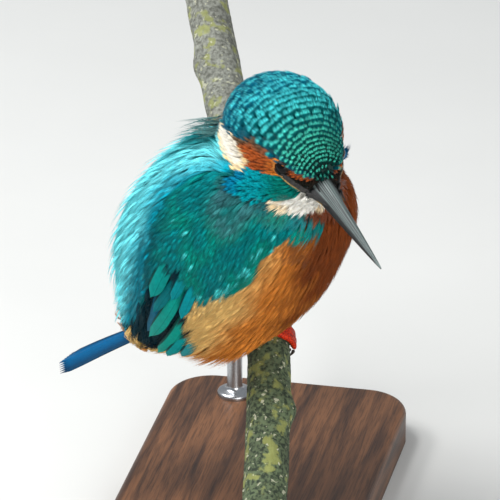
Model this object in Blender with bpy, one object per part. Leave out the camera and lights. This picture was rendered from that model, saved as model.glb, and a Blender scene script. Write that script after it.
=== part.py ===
"""A common kingfisher, life size, hunched and fluffed on a short length of branch.

The bird is modelled whole as one soft mass and parted by thin cuts into head, neck and trunk.
Bill, eyes, wings, tail, legs and claws are pieces of their own, set into the mass with a hair's
gap. The branch is held by a plain display stand: a bevelled base and two rods.

Frame: +X is the way the body faces, +Y the bird's left side, +Z up. The origin is the middle of
the base's underside. Lengths are metres; the helper mm() turns millimetres into metres.
"""

import math

import bmesh
import bpy
from mathutils import Matrix, Vector
from mathutils.bvhtree import BVHTree

MM = 0.001


def mm(x, y, z):
    """A point or a size given in millimetres."""
    return Vector((x, y, z)) * MM


# ---------------------------------------------------------------- driving dimensions
GAP = 0.0003  # clear space between pieces that touch
INFLATE = 0.00047  # how far a cutter's skin is pushed out, so that its square edges keep GAP

FOOT = mm(8, -22, 64)  # on top of the branch, between the feet: the bird is placed from here

# The branch: a bent stick that rises to the bird's left and leans back as it goes up.
PERCH_RADIUS = 6.5 * MM
PERCH_BELOW = Vector((-0.13, 0.848, 0.53))  # the way it runs below the feet
PERCH_ABOVE = Vector((-0.327, 0.80, 0.50))  # the way it runs above the feet
PERCH_BEND = 15 * MM  # length over which the one turns into the other
PERCH_UP = Vector((0.0, -0.53, 0.848))  # from the branch's middle to the bird's feet
PERCH_SIDE_STEP = mm(-1.2, -0.25, 0)
PERCH_FROM, PERCH_TO = -60 * MM, 138 * MM
PERCH_STEP = 9 * MM
PERCH_SIDES = 14
# Knots: place along the branch, angle around it (0 is the +X side), height, spread along it.
PERCH_KNOTS = ((-21 * MM, 10, 1.9 * MM, 4.0 * MM), (108 * MM, 176, 1.6 * MM, 4.5 * MM),
               (46 * MM, 80, 1.0 * MM, 6.0 * MM))
KNOT_WIDTH = 34  # degrees around the branch
PERCH_END_BEVEL = 0.6 * MM

# The body: soft masses, each an ellipsoid: centre from FOOT, half sizes, nose-up pitch in degrees.
BODY_PITCH = 50
BODY_MASSES = (
    (mm(-11.5, 1, 33), mm(42, 28.5, 32.6), BODY_PITCH),  # barrel: back and belly
    (mm(5, 0, 42), mm(22.5, 24, 21.5), BODY_PITCH),  # breast
    (mm(-30, 1, 8.5), mm(18.5, 16, 14), 38),  # rump and vent
    (mm(-5, 0, 54.5), mm(24, 22, 15), 12),  # shoulders and neck, drawn in
)
BODY_CENTRE = FOOT + mm(-11.5, 1, 33)

# The head: its middle, and how it is turned.
HEAD = FOOT + mm(5.4, -4, 71.4)
HEAD_YAW, HEAD_PITCH = -46.5, -20
# Head masses: centre and half sizes along forward, left and crown-ward.
HEAD_MASSES = (
    (mm(-1, 0, -1), mm(20, 17.8, 15.6)),  # cranium
    (mm(11, 0, -2.5), mm(15, 11.5, 11)),  # face
    (mm(19, 0, -4), mm(9, 6.6, 6.4)),  # feathered root of the bill
    (mm(3, 7, -8), mm(13, 8.5, 9)),  # left cheek
    (mm(3, -7, -8), mm(13, 8.5, 9)),  # right cheek
    (mm(9, 0, -10), mm(12, 8.5, 6.5)),  # chin and throat
)
HEAD_CUT = (mm(1.5, 0, 0), mm(24.5, 19.8, 19.2))  # the head is what lies inside this egg
NECK_CUT = (mm(-1, -1, 62), mm(28, 26.5, 18), 14)  # and the neck what lies inside this one

FLESH_VOXEL = 1.5 * MM
FLESH_SMOOTHING = 8
FLESH_TRIANGLES = 2050

# The bill: a straight dagger in two halves.
BILL_TIP = 57.5 * MM  # from the head's middle, forward
BILL_ROOT = 15 * MM
BILL_DROP = -3.6 * MM  # the line where the halves meet, from the head's middle, crown-ward
BILL_DIP = 2  # degrees that the bill points below the head's own forward line
UPPER_DEPTH, LOWER_DEPTH = 5.2 * MM, 4.0 * MM  # at the root
BILL_WIDTH = 8.8 * MM  # at the root
BILL_SIDES = 12
BILL_STATIONS = (0, 0.17, 0.35, 0.52, 0.68, 0.83, 0.94, 1.0)
BILL_TAPER, BILL_TIP_SHARE = 0.86, 0.045
BILL_ROUND, BILL_LEAN = 1.25, 0.25  # how peaked the ridge is, how far the sides lean in

# The eyes: a ball set deep, so that only its front shows.
EYE_PLACE = mm(14.2, 8.6, 0.2)
EYE_RADIUS = 3.3 * MM
EYE_SIDES = 12

# The wings: a curved leaf from the bend to the tips, laid on the flank.
# Each row: place along the body's axis, angle round it from the mid-back, for the two edges.
WING_UPPER_EDGE = ((30, 84), (18, 64), (4, 55), (-12, 55), (-26, 64), (-36, 80), (-43, 95))
WING_LOWER_EDGE = ((32, 118), (22, 109), (7, 98), (-9, 94), (-22, 95), (-34, 100), (-44, 107))
WING_ACROSS, WING_ALONG = 7, 15
WING_PROUD = 0.9 * MM
WING_THICK, WING_TIP_SHARE = 3.2 * MM, 0.45
AXIS_REACH = 24  # the rays that find the body's surface start no further than this from its centre
AXIS_ARM = 26

# The tail: a short, nearly square-ended fan.
TAIL_ROOT = FOOT + mm(-33, 1, 3)
TAIL_WAY = Vector((-0.87, 0.0, -0.49))
TAIL_LENGTH = 37 * MM
TAIL_ROOT_SIZE, TAIL_END_SIZE = (11 * MM, 5.0 * MM), (20 * MM, 1.6 * MM)
TAIL_STATIONS = (0, 0.2, 0.4, 0.6, 0.8, 0.93, 1.0)
TAIL_TIP_SHARE = 0.72  # how much of the width the last ring keeps, which rounds the corners

# The legs: very short, with toes that wrap the branch.
LEG_PLACES = {"leg_left": 12.0 * MM, "leg_right": 3.0 * MM}  # each foot, along the branch
LEG_HIP = mm(-7, 0, 15)  # from the foot to where the leg enters the belly's inside
SHANK_RADIUS, TOE_RADIUS, TOE_TIP_RADIUS = 1.35 * MM, 1.25 * MM, 0.95 * MM
# Toes: sideways step along the branch, sweep around it in degrees from its top (+ is forward).
TOES = ((-1.9 * MM, 92), (0.0, 108), (1.9 * MM, 98), (-0.4 * MM, -84))
TOE_SPREAD_AT_ROOT = 0.35  # share of its sideways step that a toe has where it leaves the foot
CLAW_START, CLAW_SWEEP, CLAW_RADIUS = 10, 24, 0.72 * MM
FOOT_PAD = mm(3.0, 2.6, 1.7)
ANKLE_LIFT, PAD_LIFT = 1.4 * MM, 0.8 * MM
LEG_VOXEL = 0.42 * MM
LEG_TRIANGLES = 360
# The hollow in the belly that the feet lie in: a sleeve round the branch (place along it, radius).
FOOT_SLEEVE = ((-4.5 * MM, 5.4 * MM), (-1.6 * MM, 10.9 * MM), (7.5 * MM, 10.9 * MM),
               (16.6 * MM, 10.9 * MM), (19.5 * MM, 5.4 * MM))
SHANK_ROOM = 0.55 * MM

# The stand.
BASE_SIZE = mm(76, 112, 12)
BASE_CORNER, BASE_EDGE = 14 * MM, 2.5 * MM
ROD_RADIUS, ROD_SUNK = 2.4 * MM, 6 * MM
ROD_FLANGE_RADIUS, ROD_FLANGE_HEIGHT = 5.5 * MM, 1.8 * MM
ROD_HEAD_RADIUS, ROD_HEAD_HEIGHT = 4.2 * MM, 7 * MM
ROD_PLACES = {"stand_rod_front": -9 * MM, "stand_rod_back": 76 * MM}  # along the branch


# ---------------------------------------------------------------- helpers
def clear_scene():
    for old in list(bpy.data.objects):
        bpy.data.objects.remove(old)


def finish(name, colour, roughness, metallic=0.0):
    """A plain Principled material in the piece's own colour."""
    made = bpy.data.materials.new(name)
    made.use_nodes = True
    shader = made.node_tree.nodes["Principled BSDF"]
    shader.inputs["Base Color"].default_value = (*colour, 1.0)
    shader.inputs["Roughness"].default_value = roughness
    shader.inputs["Metallic"].default_value = metallic
    return made


def new_object(name, bm, material=None):
    """Turns a bmesh into a linked object; smooth shading, sharp above 40 degrees."""
    mesh = bpy.data.meshes.new(name)
    bm.to_mesh(mesh)
    bm.free()
    mesh.shade_smooth()
    mesh.set_sharp_from_angle(angle=math.radians(40))
    made = bpy.data.objects.new(name, mesh)
    bpy.context.collection.objects.link(made)
    if material:
        mesh.materials.append(material)
    return made


def applied(thing):
    """Makes the object's modifiers part of its mesh."""
    depsgraph = bpy.context.evaluated_depsgraph_get()
    mesh = bpy.data.meshes.new_from_object(thing.evaluated_get(depsgraph))
    thing.modifiers.clear()
    thing.data = mesh
    return thing


def copy_of(thing, name):
    made = thing.copy()
    made.data = thing.data.copy()
    made.name = name
    made.data.name = name
    bpy.context.collection.objects.link(made)
    return made


def inflated(thing, by=INFLATE):
    """A copy whose skin is pushed out along its normals, to cut with."""
    made = copy_of(thing, thing.name + "_cutter")
    push = made.modifiers.new("push", "DISPLACE")
    push.strength = by
    push.mid_level = 0.0
    return applied(made)


def combine(thing, cutter, operation):
    """Boolean of the object by the cutter, applied; the cutter is then removed."""
    cut = thing.modifiers.new("cut", "BOOLEAN")
    cut.operation = operation
    cut.solver = "EXACT"
    cut.object = cutter
    applied(thing)
    bpy.data.objects.remove(cutter)
    return thing


def largest_body(thing):
    """Keeps the largest connected body of a mesh and drops crumbs that a cut left."""
    bm = bmesh.new()
    bm.from_mesh(thing.data)
    waiting = set(bm.verts)
    bodies = []
    while waiting:
        front = [waiting.pop()]
        body = list(front)
        while front:
            vert = front.pop()
            near = [edge.other_vert(vert) for edge in vert.link_edges]
            near = [other for other in near if other in waiting]
            waiting.difference_update(near)
            front.extend(near)
            body.extend(near)
        bodies.append(body)
    bodies.sort(key=len)
    for body in bodies[:-1]:
        bmesh.ops.delete(bm, geom=body, context="VERTS")
    bm.to_mesh(thing.data)
    bm.free()
    return thing


def egg(bm, centre, half, turn=None, fineness=3):
    """Adds an ellipsoid to the bmesh; turn is a rotation applied before it is placed."""
    size = Matrix.Diagonal((*half, 1.0))
    turn = turn.to_4x4() if turn else Matrix.Identity(4)
    place = Matrix.Translation(centre) @ turn @ size
    bmesh.ops.create_icosphere(bm, subdivisions=fineness, radius=1.0, matrix=place)


def pitched(degrees):
    """Nose-up turn about the bird's left-hand axis."""
    return Matrix.Rotation(math.radians(-degrees), 3, "Y")


def head_turn():
    return Matrix.Rotation(math.radians(HEAD_YAW), 3, "Z") @ pitched(HEAD_PITCH)


def head_point(point):
    """A place given forward, left and crown-ward of the head's middle."""
    return HEAD + head_turn() @ point


def ring(bm, centre, across, up, half_across, half_up, sides, shape=None):
    """One closed ring of vertices; shape(angle) may scale the radius around it."""
    made = bmesh.ops.create_circle(bm, cap_ends=False, radius=1.0, segments=sides)["verts"]
    for vert in made:
        angle = math.atan2(vert.co.y, vert.co.x)
        reach = shape(angle) if shape else 1.0
        vert.co = centre + across * (vert.co.x * half_across * reach) + up * (
            vert.co.y * half_up * reach)
    return made


def loft(bm, rings):
    """Skins neighbouring rings and closes both ends."""
    for near, far in zip(rings, rings[1:]):
        edges = [edge for edge in bm.edges if set(edge.verts) <= set(near)]
        edges += [edge for edge in bm.edges if set(edge.verts) <= set(far)]
        bmesh.ops.bridge_loops(bm, edges=edges)
    for end in (rings[0], rings[-1]):
        bmesh.ops.contextual_create(
            bm, geom=[edge for edge in bm.edges if set(edge.verts) <= set(end)])
    bmesh.ops.recalc_face_normals(bm, faces=bm.faces)


def tube(bm, points, radii, sides=10):
    """A round tube through points, with a radius for each."""
    rings = []
    across = None
    for index, point in enumerate(points):
        before = points[max(index - 1, 0)]
        after = points[min(index + 1, len(points) - 1)]
        way = (after - before).normalized()
        if across is None:
            across = way.orthogonal().normalized()
        across = (across - way * across.dot(way)).normalized()
        rings.append(ring(bm, point, across, way.cross(across), radii[index], radii[index], sides))
    loft(bm, rings)


def remeshed(thing, voxel, smoothing, triangles):
    """One closed skin round all of a mesh's bodies, smoothed, then thinned to about so many triangles."""
    skin = thing.modifiers.new("skin", "REMESH")
    skin.mode = "VOXEL"
    skin.voxel_size = voxel
    applied(thing)
    soften = thing.modifiers.new("soften", "SMOOTH")
    soften.factor = 0.5
    soften.iterations = smoothing
    applied(thing)
    bm = bmesh.new()
    bm.from_mesh(thing.data)
    bmesh.ops.triangulate(bm, faces=bm.faces)
    count = len(bm.faces)
    bm.to_mesh(thing.data)
    bm.free()
    thin = thing.modifiers.new("thin", "DECIMATE")
    thin.ratio = min(1.0, triangles / count)
    applied(thing)
    thing.data.shade_smooth()
    return thing


def painted(thing, material):
    thing.data.materials.clear()
    thing.data.materials.append(material)
    for face in thing.data.polygons:
        face.material_index = 0
    return thing


# ---------------------------------------------------------------- the branch
def perch_point(along):
    """The branch's centre line: two straight runs with a soft bend between them."""
    bend = math.sqrt(along * along + PERCH_BEND * PERCH_BEND) - PERCH_BEND
    start = FOOT + PERCH_SIDE_STEP - PERCH_UP * PERCH_RADIUS
    return start + (PERCH_ABOVE + PERCH_BELOW) * (along / 2) + (PERCH_ABOVE - PERCH_BELOW) * (bend / 2)


def perch_way(along):
    step = 0.5 * MM
    return (perch_point(along + step) - perch_point(along - step)).normalized()


def perch_side(along):
    """Square to the branch, level, to the bird's front."""
    return perch_way(along).cross(Vector((0, 0, 1))).normalized()


def build_perch(material, extra=0.0, name="perch", knots=PERCH_KNOTS):
    bm = bmesh.new()
    rings = []
    steps = round((PERCH_TO - PERCH_FROM) / PERCH_STEP)
    for index in range(steps + 1):
        along = PERCH_FROM + (PERCH_TO - PERCH_FROM) * index / steps
        side = perch_side(along)
        up = side.cross(perch_way(along)).normalized()

        def outline(angle, along=along):
            grow = 1.0
            for place, turn, height, spread in knots:
                off = (math.degrees(angle) - turn + 180) % 360 - 180
                lump = math.exp(-((along - place) / spread) ** 2 - (off / KNOT_WIDTH) ** 2)
                grow += height / PERCH_RADIUS * lump
            return grow

        reach = PERCH_RADIUS + extra
        rings.append(ring(bm, perch_point(along), side, up, reach, reach, PERCH_SIDES, outline))
    loft(bm, rings)
    caps = [face for face in bm.faces if len(face.verts) == PERCH_SIDES]
    rims = {edge for face in caps for edge in face.edges}
    bmesh.ops.bevel(bm, geom=list(rims), offset=PERCH_END_BEVEL, segments=1, profile=0.5,
                    affect="EDGES", material=-1)
    return new_object(name, bm, material)


# ---------------------------------------------------------------- the bird
def build_flesh():
    bm = bmesh.new()
    for centre, half, pitch in BODY_MASSES:
        egg(bm, FOOT + centre, half, pitched(pitch), fineness=4)
    for centre, half in HEAD_MASSES:
        egg(bm, head_point(centre), half, head_turn(), fineness=4)
    return remeshed(new_object("flesh", bm), FLESH_VOXEL, FLESH_SMOOTHING, FLESH_TRIANGLES)


def build_bill(name, material, upper, lower, extra=0.0):
    """A straight taper to the tip; upper and lower are the section's heights at the root."""
    bm = bmesh.new()
    turn = head_turn() @ pitched(-BILL_DIP)
    forward, left, crown = (turn @ Vector(axis) for axis in ((1, 0, 0), (0, 1, 0), (0, 0, 1)))
    root = head_point(Vector((BILL_ROOT - extra, 0, BILL_DROP)))
    length = BILL_TIP - BILL_ROOT
    rings = []
    for share in BILL_STATIONS:
        taper = (1 - share) ** BILL_TAPER * (1 - BILL_TIP_SHARE) + BILL_TIP_SHARE
        centre = root + forward * (length * share)
        made = bmesh.ops.create_circle(bm, cap_ends=False, radius=1.0, segments=BILL_SIDES)["verts"]
        for vert in made:
            rise = abs(vert.co.y)
            height = (upper if vert.co.y > 0 else -lower) * taper * rise ** BILL_ROUND
            flat = (GAP if upper else -GAP) / 2 if not (upper and lower) else 0.0
            out = extra * vert.co.normalized()
            half_width = BILL_WIDTH / 2 * taper * (1 - BILL_LEAN * rise)
            rise_to = flat + height + out.y
            vert.co = centre + left * (vert.co.x * half_width + out.x) + crown * rise_to
        rings.append(made)
    loft(bm, rings)
    return new_object(name, bm, material)


def build_eye(name, material, side):
    bm = bmesh.new()
    place = head_point(Vector((EYE_PLACE.x, EYE_PLACE.y * side, EYE_PLACE.z)))
    outward = head_turn() @ Vector((0, side, 0))
    turn = outward.to_track_quat("Z", "Y").to_matrix().to_4x4()
    bmesh.ops.create_uvsphere(bm, u_segments=EYE_SIDES, v_segments=8, radius=EYE_RADIUS,
                              matrix=Matrix.Translation(place) @ turn)
    return new_object(name, bm, material)


def smooth_row(points, share):
    """A place on a smooth curve through evenly spaced points (Catmull-Rom)."""
    spans = len(points) - 1
    index = min(int(share * spans), spans - 1)
    part = share * spans - index
    rows = [Vector((*points[min(max(index + step, 0), spans)], 0)) for step in (-1, 0, 1, 2)]
    before, start, end, after = rows
    return 0.5 * (2 * start + (end - before) * part
                  + (2 * before - 5 * start + 4 * end - after) * part ** 2
                  + (3 * start - before - 3 * end + after) * part ** 3)


def on_body(tree, along, round_angle, side):
    """The point of the body's surface at a place along its axis and an angle from the mid-back."""
    turn = pitched(BODY_PITCH)
    axis, back = turn @ Vector((1, 0, 0)), turn @ Vector((0, 0, 1))
    across = Vector((0, side, 0))
    angle = math.radians(round_angle)
    target = axis * along + (back * math.cos(angle) + across * math.sin(angle)) * AXIS_ARM
    start = axis * max(-AXIS_REACH, min(AXIS_REACH, along))
    way = (target - start).normalized()
    hit = tree.ray_cast(BODY_CENTRE + start * MM, way)
    return hit[0], way


def build_wing(name, material, side, flesh):
    """A leaf laid on the flank: a grid moved onto the body's surface and given a thickness."""
    tree = BVHTree.FromObject(flesh, bpy.context.evaluated_depsgraph_get())
    bm = bmesh.new()
    bmesh.ops.create_grid(bm, x_segments=WING_ALONG, y_segments=WING_ACROSS, size=0.5)
    thickness = {}
    for vert in bm.verts:
        along, across = vert.co.x + 0.5, vert.co.y + 0.5
        upper = smooth_row(WING_UPPER_EDGE, along)
        lower = smooth_row(WING_LOWER_EDGE, along)
        place = upper.lerp(lower, across)
        spot, way = on_body(tree, place.x, place.y, side)
        vert.co = spot + way * WING_PROUD
        thickness[vert.index] = 1.0 - (1.0 - WING_TIP_SHARE) * along
    for _ in range(3):
        bmesh.ops.smooth_vert(bm, verts=[v for v in bm.verts if not v.is_boundary], factor=0.5,
                              use_axis_x=True, use_axis_y=True, use_axis_z=True)
    bmesh.ops.recalc_face_normals(bm, faces=bm.faces)
    middle = min(bm.faces, key=lambda face: abs(face.calc_center_median().z - BODY_CENTRE.z))
    if middle.normal.y * side < 0:
        bmesh.ops.reverse_faces(bm, faces=bm.faces)
    made = new_object(name, bm, material)
    group = made.vertex_groups.new(name="thickness")
    for index, share in thickness.items():
        group.add([index], share, "REPLACE")
    wall = made.modifiers.new("wall", "SOLIDIFY")
    wall.thickness = WING_THICK
    wall.offset = -1.0
    wall.vertex_group = group.name
    wall.use_rim = True
    return applied(made)


def build_tail(name, material):
    bm = bmesh.new()
    across = Vector((0, 1, 0))
    up = TAIL_WAY.cross(across).normalized() * -1
    rings = []
    for share in TAIL_STATIONS:
        width = TAIL_ROOT_SIZE[0] + (TAIL_END_SIZE[0] - TAIL_ROOT_SIZE[0]) * share
        depth = TAIL_ROOT_SIZE[1] + (TAIL_END_SIZE[1] - TAIL_ROOT_SIZE[1]) * share ** 0.6
        if share == 1.0:
            width *= TAIL_TIP_SHARE
        rings.append(ring(bm, TAIL_ROOT + TAIL_WAY.normalized() * (TAIL_LENGTH * share),
                          across, up, width / 2, depth / 2, 14))
    loft(bm, rings)
    return new_object(name, bm, material)


def toe_point(foot_along, step, sweep, lift):
    """A point of a toe's centre line: around the branch, so many degrees from its top."""
    along = foot_along + step
    side = perch_side(along)
    up = side.cross(perch_way(along)).normalized()
    angle = math.radians(sweep)
    reach = PERCH_RADIUS + lift
    return perch_point(along) + (side * math.sin(angle) + up * math.cos(angle)) * reach


def foot_sleeve():
    """The room that the toes take up around the branch, to cut out of the belly."""
    bm = bmesh.new()
    rings = []
    for along, radius in FOOT_SLEEVE:
        side = perch_side(along)
        up = side.cross(perch_way(along)).normalized()
        rings.append(ring(bm, perch_point(along), side, up, radius, radius, PERCH_SIDES))
    loft(bm, rings)
    return new_object("foot_sleeve", bm)


def shank(bm, foot_along, extra=0.0, sides=10):
    """The bare lower leg, from the ankle up into the belly's feathers."""
    ankle = toe_point(foot_along, 0.0, -8, TOE_RADIUS + GAP + ANKLE_LIFT)
    hip = toe_point(foot_along, 0.0, 0, 0) + LEG_HIP
    hip += (hip - ankle).normalized() * extra
    knee = ankle.lerp(hip, 0.5) + mm(-1.2, 0, 0)
    radii = [SHANK_RADIUS * share + extra for share in (1.0, 0.9, 1.25)]
    tube(bm, [ankle, knee, hip], radii, sides)


def shank_hole(foot_along):
    bm = bmesh.new()
    shank(bm, foot_along, SHANK_ROOM, sides=8)
    return new_object("shank_hole", bm)


def build_leg(name, material, foot_along):
    """Shank and toes as round tubes, melted into one skin."""
    bm = bmesh.new()
    shank(bm, foot_along)
    for step, sweep in TOES:
        points = []
        radii = []
        spans = 9
        for index in range(spans + 1):
            share = index / spans
            radius = TOE_RADIUS + (TOE_TIP_RADIUS - TOE_RADIUS) * share
            spread = step * min(1.0, TOE_SPREAD_AT_ROOT + share * 1.6)
            points.append(toe_point(foot_along, spread, sweep * share, radius + GAP * 1.5))
            radii.append(radius)
        tube(bm, points, radii)
    egg(bm, toe_point(foot_along, 0.0, 0, TOE_RADIUS + PAD_LIFT), FOOT_PAD, fineness=2)
    made = new_object(name, bm, material)
    return remeshed(made, LEG_VOXEL, 2, LEG_TRIANGLES)


def build_claw(name, material, foot_along, step, sweep):
    """A curved, pointed claw that carries a toe's line on around the branch."""
    bm = bmesh.new()
    spans = 3
    way = math.copysign(1, sweep)
    points, radii = [], []
    for index in range(spans + 1):
        share = index / spans
        turn = sweep + way * (CLAW_START + CLAW_SWEEP * share)
        points.append(toe_point(foot_along, step, turn, CLAW_RADIUS + GAP * 2.5))
        radii.append(CLAW_RADIUS * (1 - 0.72 * share))
    tube(bm, points, radii, sides=6)
    return new_object(name, bm, material)


def build_bird():
    teal = finish("teal_plumage", (0.0, 0.21, 0.22), 0.6)
    orange = finish("orange_plumage", (0.42, 0.16, 0.03), 0.7)
    flight = finish("flight_feathers", (0.0, 0.25, 0.27), 0.5)
    horn = finish("bill_horn", (0.03, 0.03, 0.035), 0.35)
    red = finish("leg_skin", (0.5, 0.04, 0.01), 0.45)
    claw = finish("claw_horn", (0.02, 0.015, 0.015), 0.35)
    eye = finish("eye_dark", (0.005, 0.004, 0.004), 0.08)

    flesh = build_flesh()
    wings = [build_wing("wing_left", flight, 1, flesh), build_wing("wing_right", flight, -1, flesh)]
    build_bill("bill_upper", horn, UPPER_DEPTH, 0)
    build_bill("bill_lower", horn, 0, LOWER_DEPTH)
    bill_slot = build_bill("bill_slot", None, UPPER_DEPTH, LOWER_DEPTH, extra=GAP * 1.6)
    eyes = [build_eye("eye_left", eye, 1), build_eye("eye_right", eye, -1)]
    tail = build_tail("tail", flight)
    for inset in (*wings, *eyes, tail):
        combine(flesh, inflated(inset), "DIFFERENCE")
    combine(flesh, bill_slot, "DIFFERENCE")

    combine(flesh, build_perch(None, extra=INFLATE, name="groove", knots=()), "DIFFERENCE")
    combine(flesh, foot_sleeve(), "DIFFERENCE")
    for name, foot_along in LEG_PLACES.items():
        build_leg(name, red, foot_along)
        combine(flesh, shank_hole(foot_along), "DIFFERENCE")
        for number, (step, sweep) in enumerate(TOES, 1):
            claw_name = name.replace("leg", "claw") + "_" + str(number)
            build_claw(claw_name, claw, foot_along, step, sweep)

    def cutter(extra, centre, half, turn):
        bm = bmesh.new()
        egg(bm, centre, half + Vector((extra,) * 3), turn)
        return new_object("cutter", bm)

    def head_cutter(extra):
        return cutter(extra, head_point(HEAD_CUT[0]), HEAD_CUT[1], head_turn())

    def neck_cutter(extra):
        return cutter(extra, FOOT + NECK_CUT[0], NECK_CUT[1], pitched(NECK_CUT[2]))

    head = copy_of(flesh, "head")
    combine(head, head_cutter(0), "INTERSECT")
    combine(flesh, head_cutter(GAP * 1.15), "DIFFERENCE")
    neck = copy_of(flesh, "neck")
    combine(neck, neck_cutter(0), "INTERSECT")
    trunk = copy_of(flesh, "trunk")
    combine(trunk, neck_cutter(GAP * 1.15), "DIFFERENCE")
    bpy.data.objects.remove(flesh)
    for piece, material in ((head, teal), (neck, teal), (trunk, orange)):
        largest_body(piece)
        painted(piece, material)


# ---------------------------------------------------------------- the stand
def build_base(material, rods):
    bm = bmesh.new()
    place = Matrix.Translation((0, 0, BASE_SIZE.z / 2)) @ Matrix.Diagonal((*BASE_SIZE, 1.0))
    bmesh.ops.create_cube(bm, size=1.0, matrix=place)
    upright = [edge for edge in bm.edges if abs(edge.verts[0].co.z - edge.verts[1].co.z) > GAP]
    bmesh.ops.bevel(bm, geom=upright, offset=BASE_CORNER, segments=5, profile=0.5,
                    affect="EDGES", material=-1)
    top = [edge for edge in bm.edges if all(vert.co.z > BASE_SIZE.z - GAP for vert in edge.verts)]
    bmesh.ops.bevel(bm, geom=top, offset=BASE_EDGE, segments=2, profile=0.5,
                    affect="EDGES", material=-1)
    base = new_object("stand_base", bm, material)
    for rod in rods:
        combine(base, inflated(rod), "DIFFERENCE")
    return base


def build_rod(name, material, along):
    """A turned rod: a sunk foot, a flange, a shaft and a head that cradles the branch."""
    spot = perch_point(along)
    bm = bmesh.new()
    low, top = BASE_SIZE.z - ROD_SUNK, spot.z - PERCH_RADIUS * 0.55
    flange = BASE_SIZE.z + GAP * 1.7
    profile = (
        (0, low), (ROD_RADIUS, low), (ROD_RADIUS, flange),
        (ROD_FLANGE_RADIUS, flange), (ROD_FLANGE_RADIUS, flange + ROD_FLANGE_HEIGHT * 0.6),
        (ROD_FLANGE_RADIUS * 0.8, flange + ROD_FLANGE_HEIGHT), (ROD_RADIUS, flange + ROD_FLANGE_HEIGHT),
        (ROD_RADIUS, top - ROD_HEAD_HEIGHT), (ROD_HEAD_RADIUS, top - ROD_HEAD_HEIGHT * 0.45),
        (ROD_HEAD_RADIUS, top), (0, top),
    )
    verts = [bm.verts.new((spot.x + radius, spot.y, height)) for radius, height in profile]
    edges = [bm.edges.new(pair) for pair in zip(verts, verts[1:])]
    bmesh.ops.spin(bm, geom=verts + edges, cent=(spot.x, spot.y, 0), axis=(0, 0, 1),
                   angle=math.tau, steps=12, use_merge=True)
    bmesh.ops.remove_doubles(bm, verts=bm.verts, dist=0.00001)
    bmesh.ops.recalc_face_normals(bm, faces=bm.faces)
    rod = new_object(name, bm, material)
    combine(rod, build_perch(None, extra=INFLATE, name="seat", knots=()), "DIFFERENCE")
    return largest_body(rod)


def main():
    clear_scene()
    bark = finish("bark", (0.13, 0.14, 0.10), 0.85)
    steel = finish("stand_steel", (0.55, 0.55, 0.56), 0.35, metallic=1.0)
    wood = finish("stand_wood", (0.16, 0.09, 0.05), 0.5)
    build_perch(bark)
    build_bird()
    rods = [build_rod(name, steel, along) for name, along in ROD_PLACES.items()]
    build_base(wood, rods)


main()
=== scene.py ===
# %% [markdown]
# # A common kingfisher on a cut length of branch, life size
#
# The real bird weighs about 40 g. It sits hunched and fluffed, so it looks like a ball with a dagger
# set in it. Three things make it a kingfisher: rows of pale spots on a dark crown, a silky blue
# stripe down the back, and orange plumes that sweep over the edge of a teal wing. This script keeps
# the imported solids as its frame, and grows skin and feathers where they stand.

# %% Load the frame and keep its box
import math

import bmesh
import bpy
import numpy as np
from mathutils import Matrix, Vector, noise
from mathutils.bvhtree import BVHTree
from mathutils.kdtree import KDTree


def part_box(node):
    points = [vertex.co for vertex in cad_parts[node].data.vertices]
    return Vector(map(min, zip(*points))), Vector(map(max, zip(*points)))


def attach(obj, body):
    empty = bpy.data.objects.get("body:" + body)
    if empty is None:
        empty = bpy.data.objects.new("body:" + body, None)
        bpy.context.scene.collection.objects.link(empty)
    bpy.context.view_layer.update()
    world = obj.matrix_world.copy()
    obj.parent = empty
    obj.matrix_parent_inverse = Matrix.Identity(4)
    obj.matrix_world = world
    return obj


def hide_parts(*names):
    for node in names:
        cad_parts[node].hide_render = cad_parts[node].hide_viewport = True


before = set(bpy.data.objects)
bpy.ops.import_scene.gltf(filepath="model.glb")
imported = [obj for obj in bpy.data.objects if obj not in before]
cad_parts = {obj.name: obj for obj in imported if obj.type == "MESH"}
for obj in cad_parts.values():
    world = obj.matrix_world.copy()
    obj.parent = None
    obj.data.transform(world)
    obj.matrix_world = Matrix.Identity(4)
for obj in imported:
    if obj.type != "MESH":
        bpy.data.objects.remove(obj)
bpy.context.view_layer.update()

MM = 0.001

# %% [markdown]
# ## Where things are
#
# A marking on a bird follows its body, so it is easiest to place in the body's own terms. The head
# gets a frame of its own (forward along the bill, left, crown-ward) and so does the body (along the
# back, left, out of the back). Both repeat the places and turns that the solids were built with.

# %% The two frames: head and body
FOOT = Vector((8, -22, 64)) * MM  # on top of the branch, between the feet
BODY_CENTRE = FOOT + Vector((-11.5, 1, 33)) * MM
BODY_PITCH = 50
HEAD_YAW, HEAD_PITCH = -46.5, -20
EYE_PLACE = Vector((14.2, 8.6, 0.2)) * MM  # from the head's middle


def pitched(degrees):
    """Nose-up turn about the bird's left-hand axis."""
    return Matrix.Rotation(math.radians(-degrees), 3, "Y")


def middle(node):
    low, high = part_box(node)
    return (low + high) / 2


BODY_TURN = pitched(BODY_PITCH)
HEAD_TURN = Matrix.Rotation(math.radians(HEAD_YAW), 3, "Z") @ pitched(HEAD_PITCH)
between_eyes = (middle("eye_left") + middle("eye_right")) / 2
HEAD = between_eyes - HEAD_TURN @ Vector((EYE_PLACE.x, 0, EYE_PLACE.z))
print("head's middle from the foot, mm:", [round(value / MM, 1) for value in HEAD - FOOT])

# %% [markdown]
# Round the head, a place is told by its angle from the bill's line, and its angle round that line
# from the crown (0) past the eye (89) to the throat (180). Feathers grow away from the bill, so a
# row of crown spots has one angle from the bill, and the cheek stripes each keep one angle round it.
# Round the body, a place is told by how far along the back it lies and its angle from the mid-back.

# %% Polar places on head and body
def in_frame(points, centre, turn):
    """Points in a turned frame of their own, in millimetres."""
    return (np.asarray(points) - np.array(centre)) @ np.array(turn) / MM


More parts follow.
